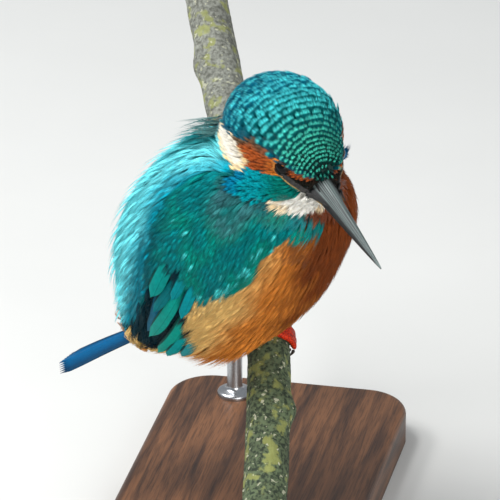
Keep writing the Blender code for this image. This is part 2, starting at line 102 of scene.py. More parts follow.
def round_bill(points):
    """Angle from the bill's line, angle round it from the crown, distance from the head's middle."""
    local = in_frame(points, HEAD, HEAD_TURN)
    far = np.linalg.norm(local, axis=1)
    from_bill = np.degrees(np.arccos(np.clip(local[:, 0] / far, -1, 1)))
    return from_bill, np.degrees(np.arctan2(np.abs(local[:, 1]), local[:, 2])), far


def round_back(points):
    """Place along the back, angle round it from the mid-back, distance from the body's axis."""
    local = in_frame(points, BODY_CENTRE, BODY_TURN)
    out = np.hypot(local[:, 1], local[:, 2])
    return local[:, 0], np.degrees(np.arctan2(np.abs(local[:, 1]), local[:, 2])), out


def ramp(values, start, end):
    """0 before start, 1 after end, smooth between them; start may be the larger."""
    share = np.clip((np.asarray(values, float) - start) / (end - start), 0, 1)
    return share * share * (3 - 2 * share)


# %% [markdown]
# ## One skin
#
# The solids divide the flesh into head, neck, trunk and wings, with thin gaps between them. A real
# bird has one skin, so copies of those solids are swollen a little until the gaps close, and melted
# into one closed surface with a voxel remesh. It is then drawn in by the coat's depth, which is
# thin at the face and thicker on the body, so that the feather tips end where the solids did.

# %% How deep the coat is
FACE_COAT, HEAD_COAT, BODY_COAT = 0.55, 1.3, 2.5  # mm
NECK_REACH = (18.5, 27)  # mm from the head's middle, where the head's coat turns into the body's


def coat_depth(points):
    """Depth of the feathers over the skin, in metres, for points on the outside of the bird."""
    from_bill, _, far = round_bill(points)
    head = FACE_COAT + (HEAD_COAT - FACE_COAT) * ramp(from_bill, 25, 60)
    return (head + (BODY_COAT - head) * ramp(far, *NECK_REACH)) * MM


# %% Melt the flesh into one skin
FLESH = ("head", "neck", "trunk", "wing_left", "wing_right")
CLOSING = 0.45 * MM  # how far the solids are swollen to close the gaps between them
SKIN_VOXEL = 0.8 * MM
# Feathers reach forward over the bill's root, so an egg of flesh is added there.
FOREHEAD_PLACE, FOREHEAD_SIZE = Vector((18.0, 0, -0.3)) * MM, Vector((7.2, 5.4, 3.7)) * MM


def face_outwards(bm):
    """Turns the faces of every closed shell outwards, once its points are where they stay."""
    bm.normal_update()
    bmesh.ops.recalc_face_normals(bm, faces=bm.faces)


def new_piece(name, bm, material=None, smooth=True):
    mesh = bpy.data.meshes.new(name)
    bm.to_mesh(mesh)
    bm.free()
    if smooth:
        mesh.shade_smooth()
    piece = bpy.data.objects.new(name, mesh)
    bpy.context.scene.collection.objects.link(piece)
    if material:
        mesh.materials.append(material)
    return piece


def applied(piece):
    """Makes the piece's modifiers part of its mesh."""
    depsgraph = bpy.context.evaluated_depsgraph_get()
    mesh = bpy.data.meshes.new_from_object(piece.evaluated_get(depsgraph))
    piece.modifiers.clear()
    piece.data = mesh
    return piece


bm = bmesh.new()
for name in (*FLESH, "eye_left", "eye_right"):
    bm.from_mesh(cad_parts[name].data)
forehead = Matrix.Translation(HEAD + HEAD_TURN @ FOREHEAD_PLACE) @ HEAD_TURN.to_4x4()
forehead = forehead @ Matrix.Diagonal((*FOREHEAD_SIZE, 1.0))
bmesh.ops.create_icosphere(bm, subdivisions=4, radius=1.0, matrix=forehead)
bmesh.ops.remove_doubles(bm, verts=bm.verts, dist=0.002 * MM)
bm.normal_update()
for vert in bm.verts:
    vert.co += vert.normal * CLOSING
skin = new_piece("skin", bm)
melt = skin.modifiers.new("melt", "REMESH")
melt.mode = "VOXEL"
melt.voxel_size = SKIN_VOXEL
applied(skin)
print("skin melted:", len(skin.data.polygons), "faces")

# %% [markdown]
# The remeshed skin still shows the steps of its voxels, so it is relaxed first. Then each point
# moves in by the coat's depth there. A brow is raised over each eye at the same time: on a live bird
# the crown overhangs the eye and gives it its hard look.

# %% Relax the skin, draw it in, raise the brows
BROW_PLACE = Vector((14.6, 9.6, 4.2))  # forward, left, crown-ward of the head's middle, mm
BROW_HEIGHT, BROW_SPREAD = 0.9, 2.6

bm = bmesh.new()
bm.from_mesh(skin.data)
for _ in range(7):
    bmesh.ops.smooth_vert(bm, verts=bm.verts, factor=0.5,
                          use_axis_x=True, use_axis_y=True, use_axis_z=True)
bm.normal_update()
outer = np.array([vert.co for vert in bm.verts])
local = in_frame(outer, HEAD, HEAD_TURN)
local[:, 1] = np.abs(local[:, 1])
brow = np.exp(-((local - np.array(BROW_PLACE)) ** 2).sum(1) / BROW_SPREAD ** 2) * BROW_HEIGHT * MM
sink = CLOSING * 0.75 + coat_depth(outer) - brow
for vert, depth in zip(bm.verts, sink):
    vert.co -= vert.normal * float(depth)
for _ in range(2):
    bmesh.ops.smooth_vert(bm, verts=bm.verts, factor=0.5,
                          use_axis_x=True, use_axis_y=True, use_axis_z=True)
bmesh.ops.triangulate(bm, faces=bm.faces)
bm.to_mesh(skin.data)
bm.free()
skin.data.shade_smooth()
print("coat depth, mm:", round(float(sink.min() / MM), 2), "to", round(float(sink.max() / MM), 2))

# %% [markdown]
# The skin is unwrapped by its own shape, and the map is called OFBake. Every feather will take its
# place on the same map, as a small patch where its root stands.

# %% Unwrap the skin
skin.data.uv_layers.new(name="OFBake")
bpy.context.view_layer.objects.active = skin
skin.select_set(True)
bpy.ops.object.mode_set(mode="EDIT")
bpy.ops.mesh.select_all(action="SELECT")
bpy.ops.uv.smart_project(angle_limit=math.radians(66), island_margin=0.002)
bpy.ops.object.mode_set(mode="OBJECT")
skin.select_set(False)

# %% Read the skin as arrays, to scatter roots on
def read(collection, name, width, kind=float):
    values = np.empty(len(collection) * width, kind)
    collection.foreach_get(name, values)
    return values.reshape(-1, width)


skin.data.calc_loop_triangles()
skin_points = read(skin.data.vertices, "co", 3)
skin_normals = read(skin.data.vertices, "normal", 3)
skin_triangles = read(skin.data.loop_triangles, "vertices", 3, np.int32)
skin_loops = read(skin.data.loop_triangles, "loops", 3, np.int32)
skin_map = read(skin.data.uv_layers["OFBake"].data, "uv", 2)
skin_tree = BVHTree.FromPolygons([Vector(point) for point in skin_points], skin_triangles.tolist())
corners = skin_points[skin_triangles]
skin_areas = np.linalg.norm(
    np.cross(corners[:, 1] - corners[:, 0], corners[:, 2] - corners[:, 0]), axis=1) / 2
print("skin area, cm2:", round(float(skin_areas.sum() * 1e4), 1))

# %% [markdown]
# ## Tracts and colours
#
# Feathers grow in tracts, and each tract has its own colours: dark crown with pale spots, orange
# ear patch, white neck patch, blue malar stripe, white throat, silky blue back, teal mantle and
# orange breast. The borders are short lists of (place, angle) pairs with straight runs between, the same
# on both sides of the bird. Skin and feathers ask the same functions, so they carry the same markings.

# %% Borders of the tracts
def border(*pairs):
    """A line through (where, value) pairs, to be read anywhere."""
    where, value = zip(*pairs)
    return lambda at: np.interp(at, where, value)


# On the head: angle from the bill's line -> angle round it.
CROWN_EDGE = border((0, 56), (7, 66), (13, 81), (20, 84), (28, 82), (34, 77), (42, 83), (48, 80), (58, 76),
                    (67, 73.5), (76, 73), (82, 77), (90, 85), (103, 88), (115, 94), (126, 100), (180, 110))
CHEEK_EDGE = border((0, 98), (20, 121), (28, 108), (36, 104), (54, 106), (72, 104), (77, 109), (90, 112),
                    (180, 116))
MALAR_EDGE = border((0, 150), (15, 142), (23, 132), (31, 136), (40, 136), (46, 129), (55, 125), (65, 120.5),
                    (75, 118.5), (83, 116), (180, 116))
THROAT_END = border((0, 50), (122, 50), (130, 49.5), (140, 43), (150, 38), (168, 36), (180, 31))
WHITE_FRONT = border((0, 103), (89, 101), (91, 88), (100, 77), (104, 72), (109, 76), (180, 80))
WHITE_REAR, WHITE_TOP, WHITE_FOOT = 130, 87, 110
MALAR_START, MALAR_REAR = 21, 81
LORE_REAR, THROAT_FRONT, NAPE_FRONT = 34, 12, 60
# How far from the head's middle its tracts reach, in mm: where they end on the neck.
FACE_REACH, MALAR_REACH, EAR_REACH, WHITE_REACH, CROWN_REACH, NAPE_REACH = 28, 27, 22, 25, 27, 20.6
# On the body: place along the back -> angle from the mid-back.
STRIPE_EDGE = border((-50, 80), (-30, 69), (-20, 59), (-12, 48), (-4.5, 39), (4, 35), (14, 37), (26, 47),
                     (40, 60))
FRINGE = border((-50, 84), (-30, 90), (-17, 94), (-9, 102), (0, 109), (5, 109), (13, 106.5), (18, 108.5),
                (20.3, 110.5), (22, 121), (24, 133), (26.5, 132), (28.4, 122), (29.2, 114), (31, 108),
                (40, 95))

# Behind the coverts, the stiff quills of the folded wing show between these two.
QUILLS_UPPER = border((-48, 74), (-34, 74), (-24, 67), (-11, 62))
QUILLS_LOWER = border((-46, 106), (-42, 113), (-37, 121), (-30, 119), (-24, 103.5), (-18, 97), (-11, 94.5))
QUILLS_FRONT, QUILLS_REAR = -11, -45

CROWN, LORE, EAR, WHITE, MALAR, THROAT, STRIPE, MANTLE, BREAST, QUILLS = range(10)


def tract_of(points):
    """Which tract each point of the bird's outside belongs to."""
    from_bill, round_it, far = round_bill(points)
    along, angle, _ = round_back(points)
    tract = np.full(len(points), BREAST)
    tract[(from_bill < MALAR_START) & (far < FACE_REACH)] = LORE
    tract[angle < FRINGE(along)] = MANTLE
    tract[angle < STRIPE_EDGE(along)] = STRIPE
    behind_coverts = (along < QUILLS_FRONT) & (along > QUILLS_REAR)
    tract[behind_coverts & (angle > QUILLS_UPPER(along)) & (angle < QUILLS_LOWER(along))] = QUILLS
    throat = (round_it > MALAR_EDGE(from_bill)) & (from_bill < THROAT_END(round_it))
    tract[throat & (from_bill > THROAT_FRONT) & (far < FACE_REACH)] = THROAT
    malar = (round_it > CHEEK_EDGE(from_bill)) & (round_it <= MALAR_EDGE(from_bill))
    tract[malar & (from_bill > MALAR_START) & (from_bill < MALAR_REAR) & (far < MALAR_REACH)] = MALAR
    cheek = (round_it > CROWN_EDGE(from_bill)) & (round_it <= CHEEK_EDGE(from_bill))
    rear = from_bill > WHITE_FRONT(round_it)
    tract[cheek & (from_bill < LORE_REAR)] = LORE
    tract[cheek & (from_bill >= LORE_REAR) & ~rear & (far < EAR_REACH)] = EAR
    neck_patch = (round_it > WHITE_TOP) & (round_it < WHITE_FOOT) & rear & (from_bill < WHITE_REAR)
    tract[neck_patch & (far < WHITE_REACH)] = WHITE
    crown_reach = np.where(from_bill > NAPE_FRONT, NAPE_REACH, CROWN_REACH)
    tract[(round_it <= CROWN_EDGE(from_bill)) & (far < crown_reach)] = CROWN
    return tract


# %% [markdown]
# The blues and greens of a kingfisher are not paint: they come from the fine build of each barb, so
# they change from feather to feather. Each tract mixes two or three colours by place and by a soft
# noise. Colours are given as they look on a screen, 0 to 255, and turned into linear light.

# %% Colours of the plumage
def colour(red, green, blue):
    """A screen colour, 0 to 255, as linear light."""
    value = np.array((red, green, blue)) / 255
    return np.where(value <= 0.04045, value / 12.92, ((value + 0.055) / 1.055) ** 2.4)


def blended(one, other, share):
    """Mixes colours by a share for each point."""
    share = np.asarray(share, float)[:, None]
    return one * (1 - share) + other * share


def soft_noise(points, size_mm, shift=0.0):
    """Smooth noise, about -1 to 1, whose lumps are so many millimetres across."""
    scale = 1 / (size_mm * MM)
    return np.array([noise.noise(Vector(point) * scale + Vector((shift, 0, 0))) for point in points])


FOREHEAD, MID_CROWN, NAPE = colour(2, 58, 52), colour(0, 84, 88), colour(0, 88, 112)
SPOT_FRONT, SPOT_BACK = colour(74, 204, 176), colour(72, 212, 218)
ORANGE_DEEP, ORANGE, BUFF = colour(124, 60, 26), colour(218, 134, 54), colour(246, 204, 128)
RUFOUS, EAR_BROWN, EAR_FRONT = colour(172, 84, 38), colour(98, 76, 58), colour(230, 142, 50)
WHITE_PLUME, NECK_WHITE, CREAM = colour(255, 252, 244), colour(238, 232, 218), colour(242, 208, 142)
MALAR_FRONT, MALAR_MID, MALAR_TIP = colour(0, 128, 116), colour(0, 152, 164), colour(0, 122, 158)
STRIPE_PALE_AND_HIGHLIGHT, STRIPE_BLUE, RUMP_BLUE = colour(128, 240, 248), colour(0, 160, 182), colour(0, 122, 142)
TEAL, TEAL_GREEN, TEAL_DEEP = colour(0, 132, 136), colour(0, 146, 130), colour(0, 92, 104)
SHEEN_SLATE, NAPE_SHADE = colour(84, 122, 138), colour(70, 112, 110)
# QUILL_SHADE is painted shade: the dark of the gaps between the folded wing's quills, also used for the
# painted shadow under the cheek.
LORE_BLACK, QUILL_SHADE = colour(20, 22, 22), colour(4, 34, 46)


def markings(points):
    """The plumage's colour at points on the bird's outside, with some light and shade painted in.

    Places are degrees on the head; on the body, mm along the back and degrees round it."""
    points = np.asarray(points)
    tract = tract_of(points)
    from_bill, round_it, far = round_bill(points)
    along, angle, _ = round_back(points)
    patchy, fine = soft_noise(points, 7), soft_noise(points, 2.2, 9)

    crown = blended(FOREHEAD, MID_CROWN, ramp(from_bill, 20, 60))
    crown = blended(crown, NAPE, np.maximum(ramp(from_bill, 85, 120), 0.8 * ramp(round_it, 60, 84)))

    rusty = ramp(round_it, 95, 91) * ramp(from_bill, 9, 13) * ramp(from_bill, 31, 27)
    loral = blended(LORE_BLACK, RUFOUS, rusty)

    ear = blended(RUFOUS, EAR_FRONT, ramp(from_bill, 56, 40))
    ear = blended(ear, EAR_BROWN, ramp(round_it - CROWN_EDGE(from_bill), 11, 4) * ramp(from_bill, 52, 66))

    inside = np.minimum(from_bill - WHITE_FRONT(round_it), WHITE_REAR - from_bill) * 0.5
    inside = np.minimum(inside, np.minimum(round_it - WHITE_TOP, WHITE_FOOT - round_it))
    white = blended(CREAM, NECK_WHITE, ramp(inside + fine * 0.5, -1, 5))

    malar = blended(MALAR_FRONT, MALAR_MID, ramp(from_bill + fine * 6, 40, 62))
    malar = blended(malar, MALAR_TIP, ramp(from_bill + fine * 5, 66, 77))

    throat = blended(WHITE_PLUME, CREAM, 0.75 * ramp(from_bill - THROAT_END(round_it) + fine, -6, 0))

    # The stripe's pale middle is partly its own bright azure and partly a painted highlight, where the silky
    # locks catch the light.
    off_middle = angle / STRIPE_EDGE(along)
    pale = ramp(off_middle + patchy * 0.2, 1.0, 0.45)
    pale = pale * (1 - 0.6 * ramp(off_middle, 0.3, 0.0) * ramp(along, 5, 15))
    rump = 0.8 * ramp(along + patchy * 4, -8, -20) * ramp(off_middle + fine * 0.1, 0.55, 0.85)
    # Painted shade: the top strands behind the nape lie in shadow, so they are painted grey over the stripe's
    # blue.
    shaded_nape = 0.85 * ramp(along + fine, 13, 19) * ramp(angle + fine * 2, 17, 9)
    teal_middle = 0.85 * ramp(along + fine, 2, 10) * ramp(off_middle + fine * 0.08, 0.5, 0.2)
    under_nape = 0.85 * ramp(from_bill + fine * 2, 126, 142) * ramp(far, 27, 23)
    stripe = blended(blended(STRIPE_BLUE, STRIPE_PALE_AND_HIGHLIGHT, pale), RUMP_BLUE, rump)
    stripe = blended(stripe, NAPE_SHADE, shaded_nape)
    stripe = blended(stripe, TEAL, teal_middle)
    stripe = blended(stripe, NAPE, under_nape)

    beside_stripe = 0.8 * ramp(angle - STRIPE_EDGE(along), 16, 2) * ramp(along, 4, -12)
    # Painted sheen: soft patches of grey-violet slate over the teal of the shoulders stand for the sheen they
    # catch.
    grey = ramp(along, 6, 13) * ramp(along, 32, 24) * ramp(angle, 38, 50) * ramp(angle, 92, 76)
    # Painted shadow: the mantle just under the malar stripe is darkened towards QUILL_SHADE, where the cheek
    # casts its shadow.
    shadow_under_cheek = ramp(round_it - MALAR_EDGE(from_bill), 10, 2)
    shadow_under_cheek = shadow_under_cheek * ramp(from_bill, 92, 80) * ramp(from_bill, 36, 46)
    mantle = blended(TEAL, TEAL_GREEN, ramp(patchy + fine * 0.12, -0.3, 0.5))
    mantle = blended(mantle, TEAL_DEEP, beside_stripe)
    mantle = blended(mantle, SHEEN_SLATE, grey * ramp(patchy + fine * 0.15, -0.2, 0.6) * 0.7)
    mantle = blended(mantle, QUILL_SHADE, 0.5 * shadow_under_cheek)

    # Underneath and close to the head the breast deepens to ORANGE_DEEP: partly its own deeper rufous, partly
    # painted shade below the body and under the head.
    low = ramp(angle, 100, 150)
    deep_rufous_and_shade = low + (along - 8) * 0.02 + patchy * 0.35 + 0.6 * ramp(far, 33, 27)
    breast = blended(BUFF, ORANGE, ramp(low + patchy * 0.25 + (along + 20) * 0.012, 0.2, 0.85))
    breast = blended(breast, ORANGE_DEEP, ramp(deep_rufous_and_shade, 0.45, 1.0))

    shades = {CROWN: crown, LORE: loral, EAR: ear, WHITE: white, MALAR: malar, THROAT: throat, STRIPE: stripe,
              MANTLE: mantle, BREAST: breast, QUILLS: np.tile(QUILL_SHADE, (len(points), 1))}
    made = np.zeros((len(points), 3))
    for number, shade in shades.items():
        here = tract == number
        made[here] = shade[here]
    return made


# %% Paint the skin with the markings
def paint(mesh, name, values):
    """Stores one colour, or one number, for each vertex."""
    values = np.asarray(values, np.float32)
    kind = "FLOAT" if values.ndim == 1 else "FLOAT_COLOR"
    layer = mesh.attributes.new(name, kind, "POINT")
    if kind == "FLOAT_COLOR":
        values = np.concatenate([values[:, :3], values[:, 3:] if values.shape[1] > 3
                                 else np.ones((len(values), 1), np.float32)], axis=1)
        layer.data.foreach_set("color", np.ascontiguousarray(values).ravel())
    else:
        layer.data.foreach_set("value", values)


DOWN_AND_SHADE = 0.6  # the down next to the skin is darker than the feather tips, and it is darkened further as painted shade between feathers
outside = skin_points + skin_normals * (coat_depth(skin_points)[:, None])
paint(skin.data, "tint", markings(outside) * DOWN_AND_SHADE)

# %% [markdown]
# ## Where feathers root, and how they lie
#
# Roots are scattered over the skin's triangles by area, then thinned until no two in a tract stand
# closer than that tract's spacing, which gives the even, slightly irregular layout of real plumage.
# Feathers lie away from the bill and towards the tail, along the skin.

# %% Scatter candidate roots
CANDIDATES = 160000
rng = np.random.default_rng(7)
chosen = rng.choice(len(skin_areas), CANDIDATES, p=skin_areas / skin_areas.sum())
weight = np.sqrt(rng.random(CANDIDATES))
share = rng.random(CANDIDATES)
mix = np.stack([1 - weight, weight * (1 - share), weight * share], axis=1)[:, :, None]
roots = (skin_points[skin_triangles[chosen]] * mix).sum(1)
root_normals = (skin_normals[skin_triangles[chosen]] * mix).sum(1)
root_normals /= np.linalg.norm(root_normals, axis=1, keepdims=True)
root_map = (skin_map[skin_loops[chosen]] * mix).sum(1)
root_outside = roots + root_normals * coat_depth(roots)[:, None]
root_tract = tract_of(root_outside)
print("candidate roots per tract:", np.bincount(root_tract, minlength=10).tolist())

# %% [markdown]
# No feather grows on the eyes, along the gape, in the slot that the bill comes out of, or where the
# branch passes under the belly.

# %% Places with no feathers
PERCH_RADIUS = 6.5 * MM
BARE_ROUND_EYE, BARE_ROUND_PERCH = 3.75, 7.6  # mm
BILL_ROOT, BILL_TIP, BILL_DROP = 15.0, 57.5, -3.6  # mm forward of the head's middle, and crown-ward
BILL_BLUNT, BILL_CURVE = 0.045, 0.86  # the tip's share of the root's size, and how soon it narrows
SLOT_HALF_WIDTH, SLOT_BELOW, SLOT_ABOVE = 4.0, 3.9, 4.9  # mm at the root
# The line where the bill's halves meet the face: forward, left and crown-ward, in mm.
GAPE = ((15.0, 10.6, -1.5), (18.1, 9.2, -2.6), (20.8, 7.2, -3.7), (25.0, 5.1, -4.0), (31.0, 2.95, -3.6))


def bill_share(forward):
    """What is left of the bill's root size, so many mm forward of the head's middle."""
    share = np.clip((forward - BILL_ROOT) / (BILL_TIP - BILL_ROOT), 0, 1)
    return (1 - share) ** BILL_CURVE * (1 - BILL_BLUNT) + BILL_BLUNT


PERCH_BELOW = Vector((-0.13, 0.848, 0.53))
PERCH_ABOVE = Vector((-0.327, 0.80, 0.50))
PERCH_UP = Vector((0.0, -0.53, 0.848))
PERCH_BEND = 15 * MM
PERCH_START = FOOT + Vector((-1.2, -0.25, 0)) * MM - PERCH_UP * PERCH_RADIUS


def perch_point(along):
    """The branch's centre line: two straight runs with a soft bend between them."""
    bend = math.sqrt(along * along + PERCH_BEND * PERCH_BEND) - PERCH_BEND
    return PERCH_START + (PERCH_ABOVE + PERCH_BELOW) * (along / 2) + (PERCH_ABOVE - PERCH_BELOW) * (bend / 2)


def gape_points(count):
    """Points along the gape's line, from the head's middle, in mm."""
    share = np.linspace(0, len(GAPE) - 1, count)
    return np.stack([np.interp(share, range(len(GAPE)), axis) for axis in zip(*GAPE)], axis=1)


def bare(points):
    """Which points of the bird's outside grow no feathers."""
    local = in_frame(points, HEAD, HEAD_TURN)
    local[:, 1] = np.abs(local[:, 1])
    near_eye = np.linalg.norm(local - np.array(EYE_PLACE) / MM, axis=1) < (
        BARE_ROUND_EYE - 0.7 * ramp(local[:, 2] - EYE_PLACE.z / MM, 0.5, 2.0))
    room = 1.25 + 1.0 * ramp(np.linspace(0, 1, 24), 0.35, 0.6)
    on_gape = (np.linalg.norm(local[:, None, :] - gape_points(24) - (0, 0, 0.6), axis=2) - room).min(1) < 0
    left = bill_share(local[:, 0])
    rise = local[:, 2] - BILL_DROP
    in_slot = (local[:, 0] > BILL_ROOT - 1) & (local[:, 1] < SLOT_HALF_WIDTH * left + 0.2) & (
        rise > -SLOT_BELOW * left) & (rise < SLOT_ABOVE * left + 0.2)
    line = np.array([perch_point(step * MM) for step in range(-60, 140, 2)])
    gap = np.linalg.norm(points[:, None, :] - line[None, :, :], axis=2).min(1) / MM
    return near_eye | on_gape | in_slot | (gap < BARE_ROUND_PERCH)


free = np.flatnonzero(~bare(root_outside))
print("roots left after the bare places:", len(free))


# %% The way the coat lies
def unit(vectors):
    return vectors / np.maximum(np.linalg.norm(vectors, axis=1, keepdims=True), 1e-9)


BILL_WAY, CROWN_WAY = np.array(HEAD_TURN @ Vector((1, 0, 0))), np.array(HEAD_TURN @ Vector((0, 0, 1)))
BACK_WAY = np.array(BODY_TURN @ Vector((1, 0, 0)))


def lie(points, normals):
    """Unit directions in which feathers point, along the skin."""
    _, _, far = round_bill(points)
    local = in_frame(points, BODY_CENTRE, BODY_TURN)
    along, angle, out = round_back(points)
    out = np.maximum(out, 0.01)
    down = np.stack([0 * out, np.sign(local[:, 1]) * local[:, 2] / out, -np.abs(local[:, 1]) / out], axis=1)
    downward = down @ np.array(BODY_TURN).T
    tailward = np.tile(-BACK_WAY, (len(points), 1))
    side = 0.26 * ramp(angle, 45, 75) * ramp(angle, 112, 98)
    side = side - 0.16 * ramp(angle, 100, 112) * ramp(angle, 160, 130)
    body = tailward + downward * (side * ramp(along, 30, 5))[:, None]
    near_head = ramp(far, 27, 19)[:, None]
    from_bill, _, _ = round_bill(points)
    over_nape = (0.9 * ramp(from_bill, 95, 150))[:, None]  # behind the crown, feathers hang to the back
    way = body * (1 - near_head) - (BILL_WAY + CROWN_WAY * over_nape) * near_head
    way = way - normals * (way * normals).sum(1, keepdims=True)
    return unit(way)


def on_skin(points):
    """The nearest places on the skin, with their normals."""
    hits = [skin_tree.find_nearest(Vector(point)) for point in points]
    return np.array([hit[0] for hit in hits]), np.array([hit[1] for hit in hits])


# %% Thin roots to an even spacing
root_way = lie(root_outside, root_normals)


def spaced(candidates, along, across):
    """Keeps candidates in their order, dropping any too near one already kept.

    The room that a root needs is an ellipse, so many mm along the lie of the coat and across it."""
    cells, kept = {}, []
    steps = [(x, y, z) for x in (-1, 0, 1) for y in (-1, 0, 1) for z in (-1, 0, 1)]
    places = (roots[candidates] // (max(along, across) * MM)).astype(int).tolist()
    for index, (x, y, z) in zip(candidates, places):
        near = [other for dx, dy, dz in steps for other in cells.get((x + dx, y + dy, z + dz), ())]
        if near:
            gap = (roots[near] - roots[index]) / MM
            ahead = gap @ root_way[index]
            beside = (gap * gap).sum(1) - ahead * ahead
            if (ahead * ahead / along ** 2 + beside / across ** 2 < 1).any():
                continue
        kept.append(index)
        cells.setdefault((x, y, z), []).append(index)
    return np.array(kept, int)

# %% [markdown]
# ## One feather, made once
#
# A small feather is a fan of barbs. One barb here is a three-sided sliver, skinned from a few small
# rings and drawn to a point, so it is solid and cheap. A fan of them makes a plume: close together
# at the root and spread to a rounded end for a covert, or side by side for a silky lock. Each kind
# is modelled once in its own units (across, along, out), in a few versions, and repeated later.

# %% Model a plume from barbs
RIDGE = 0.28  # height of a barb's ridge, as a share of its width


def bridge(bm, near, far):
    """Joins two rings of points with a band of faces."""
    edges = {edge for vert in near + far for edge in vert.link_edges
             if set(edge.verts) <= set(near) or set(edge.verts) <= set(far)}
    bmesh.ops.bridge_loops(bm, edges=list(edges))


def cap(bm, ring):
    """Closes a ring of points with one face."""
    edges = {edge for vert in ring for edge in vert.link_edges if set(edge.verts) <= set(ring)}
    bmesh.ops.contextual_create(bm, geom=list(edges))


def grow_barb(bm, stations, widths, number, layer):
    """A three-sided sliver through the stations (across, along, out), ending in a point."""
    rings = []
    for place, width in zip(stations, widths):
        ring = bmesh.ops.create_circle(bm, cap_ends=False, radius=1.0, segments=3)["verts"]
        for vert, (across, out) in zip(ring, ((-0.5, 0), (0.5, 0), (0, RIDGE))):
            vert.co = Vector(place) + Vector((across * width, 0, out * width))
            vert[layer] = number
        rings.append(ring)
    for near, far in zip(rings, rings[1:]):
        bridge(bm, near, far)
    cap(bm, rings[0])
    bmesh.ops.pointmerge(bm, verts=rings[-1], merge_co=Vector(stations[-1]))


def plume(barbs, root_spread, tip_spread, roundness, barb_width, uneven, seed, sway=0.03):
    """A fan of barbs, one unit long and about one wide. Returns its arrays."""
    draw = np.random.default_rng(seed)
    bm = bmesh.new()
    layer = bm.verts.layers.float.new("barb")
    for index in range(barbs):
        at = 2 * index / max(barbs - 1, 1) - 1
        aside, bow, lift = draw.normal(0, sway, 3)
        short = uneven * draw.random()
        tip = (at * tip_spread / 2 + aside, 1 - roundness * at * at - short, lift)
        root = (at * root_spread / 2, 0.3 * (1 - abs(at)) * roundness, 0)
        half = (root[0] + (tip[0] - root[0]) * (0.55 + 0.1 * abs(at)) + bow,
                root[1] + (tip[1] - root[1]) * 0.52, (1 - at * at) * 0.05 + lift * 0.3)
        grow_barb(bm, (root, half, tip), (barb_width * 0.75, barb_width, barb_width * 0.2),
                  float(draw.random()), layer)
    face_outwards(bm)
    bmesh.ops.triangulate(bm, faces=bm.faces)
    return arrays_of(bm)


def arrays_of(bm):
    """A template's points, barb numbers and triangles, read once so that it can be repeated."""
    layer = bm.verts.layers.float["barb"]
    bm.verts.index_update()
    made = {
        "points": np.array([vert.co[:] for vert in bm.verts]),
        "barb": np.array([vert[layer] for vert in bm.verts]),
        "faces": np.array([[vert.index for vert in face.verts] for face in bm.faces]),
    }
    bm.free()
    return made


def versions(count, *shape, **options):
    return [plume(*shape, seed=seed, **options) for seed in range(count)]


COVERT = versions(4, 13, 0.15, 1.0, 0.34, 0.13, 0.05)
SCALE = versions(4, 13, 0.3, 1.0, 0.22, 0.115, 0.05)
LOCK = versions(6, 7, 0.45, 0.95, 0.12, 0.16, 0.3)
WISP = versions(4, 3, 0.3, 0.9, 0.1, 0.2, 0.3)
SMALL = versions(4, 8, 0.35, 1.0, 0.22, 0.17, 0.15)
for name, kinds in (("covert", COVERT), ("scale", SCALE), ("lock", LOCK), ("wisp", WISP), ("small", SMALL)):
    print("template", name, "has", len(kinds[0]["faces"]), "triangles")

# %% [markdown]
# ## Repeating the feather over a tract
#
# Each plume follows its own curved path: it leaves the skin at its root, rises to the coat's depth
# within half its length, and then runs on along the skin's curve. The template's points are carried
# along that path with NumPy, and all plumes of a tract become one mesh. Its OFBake map gives each
# plume a patch 0.003 across where its root stands on the skin's unwrap.

# %% Carry templates along paths, and join them
PATCH = 0.003  # size of a plume's patch on the OFBake map
ROOT_SUNK = 0.25 * MM
pieces = {}


def paths(index, length, rise, turn, shoulder, draw):
    """Where each plume starts, where its middle and tip come, and the skin's normals there."""
    start, normal = roots[index], root_normals[index]
    way = lie(root_outside[index], normal)
    across = np.cross(normal, way)
    angle = np.radians(draw.normal(0, 1, len(index)) * turn)[:, None]
    way = way * np.cos(angle) + across * np.sin(angle)
    half, half_normal = on_skin(start + way * length[:, None] / 2)
    onward = lie(half + half_normal * MM, half_normal)
    onward = unit(onward * np.cos(angle) + np.cross(half_normal, onward) * np.sin(angle))
    end, end_normal = on_skin(half + onward * length[:, None] / 2)
    depth = coat_depth(root_outside[index]) * rise
    height = (depth * (0.88 + 0.16 * draw.random(len(index))))[:, None]
    return (start - normal * ROOT_SUNK, half + half_normal * height * shoulder, end + end_normal * height,
            normal, end_normal)


def carried(template, path, width, thick, curl):
    """The template's points along each path: an array of plumes by points by three."""
    start, half, end, normal, end_normal = (part[:, None, :] for part in path)
    control = 2 * half - (start + end) / 2
    along = np.clip(template["points"][None, :, 1:2], 0, 1)
    spine = (1 - along) ** 2 * start + 2 * along * (1 - along) * control + along ** 2 * end
    tangent = 2 * (1 - along) * (control - start) + 2 * along * (end - control)
    tangent /= np.linalg.norm(tangent, axis=2, keepdims=True)
    up = normal * (1 - along) + end_normal * along
    across = np.cross(up, tangent)
    across /= np.linalg.norm(across, axis=2, keepdims=True)
    up = np.cross(tangent, across)
    side = template["points"][None, :, 0:1] * width[:, None, None]
    out = template["points"][None, :, 2:3] * thick[:, None, None] - side * side * curl
    return spine + across * side + up * out


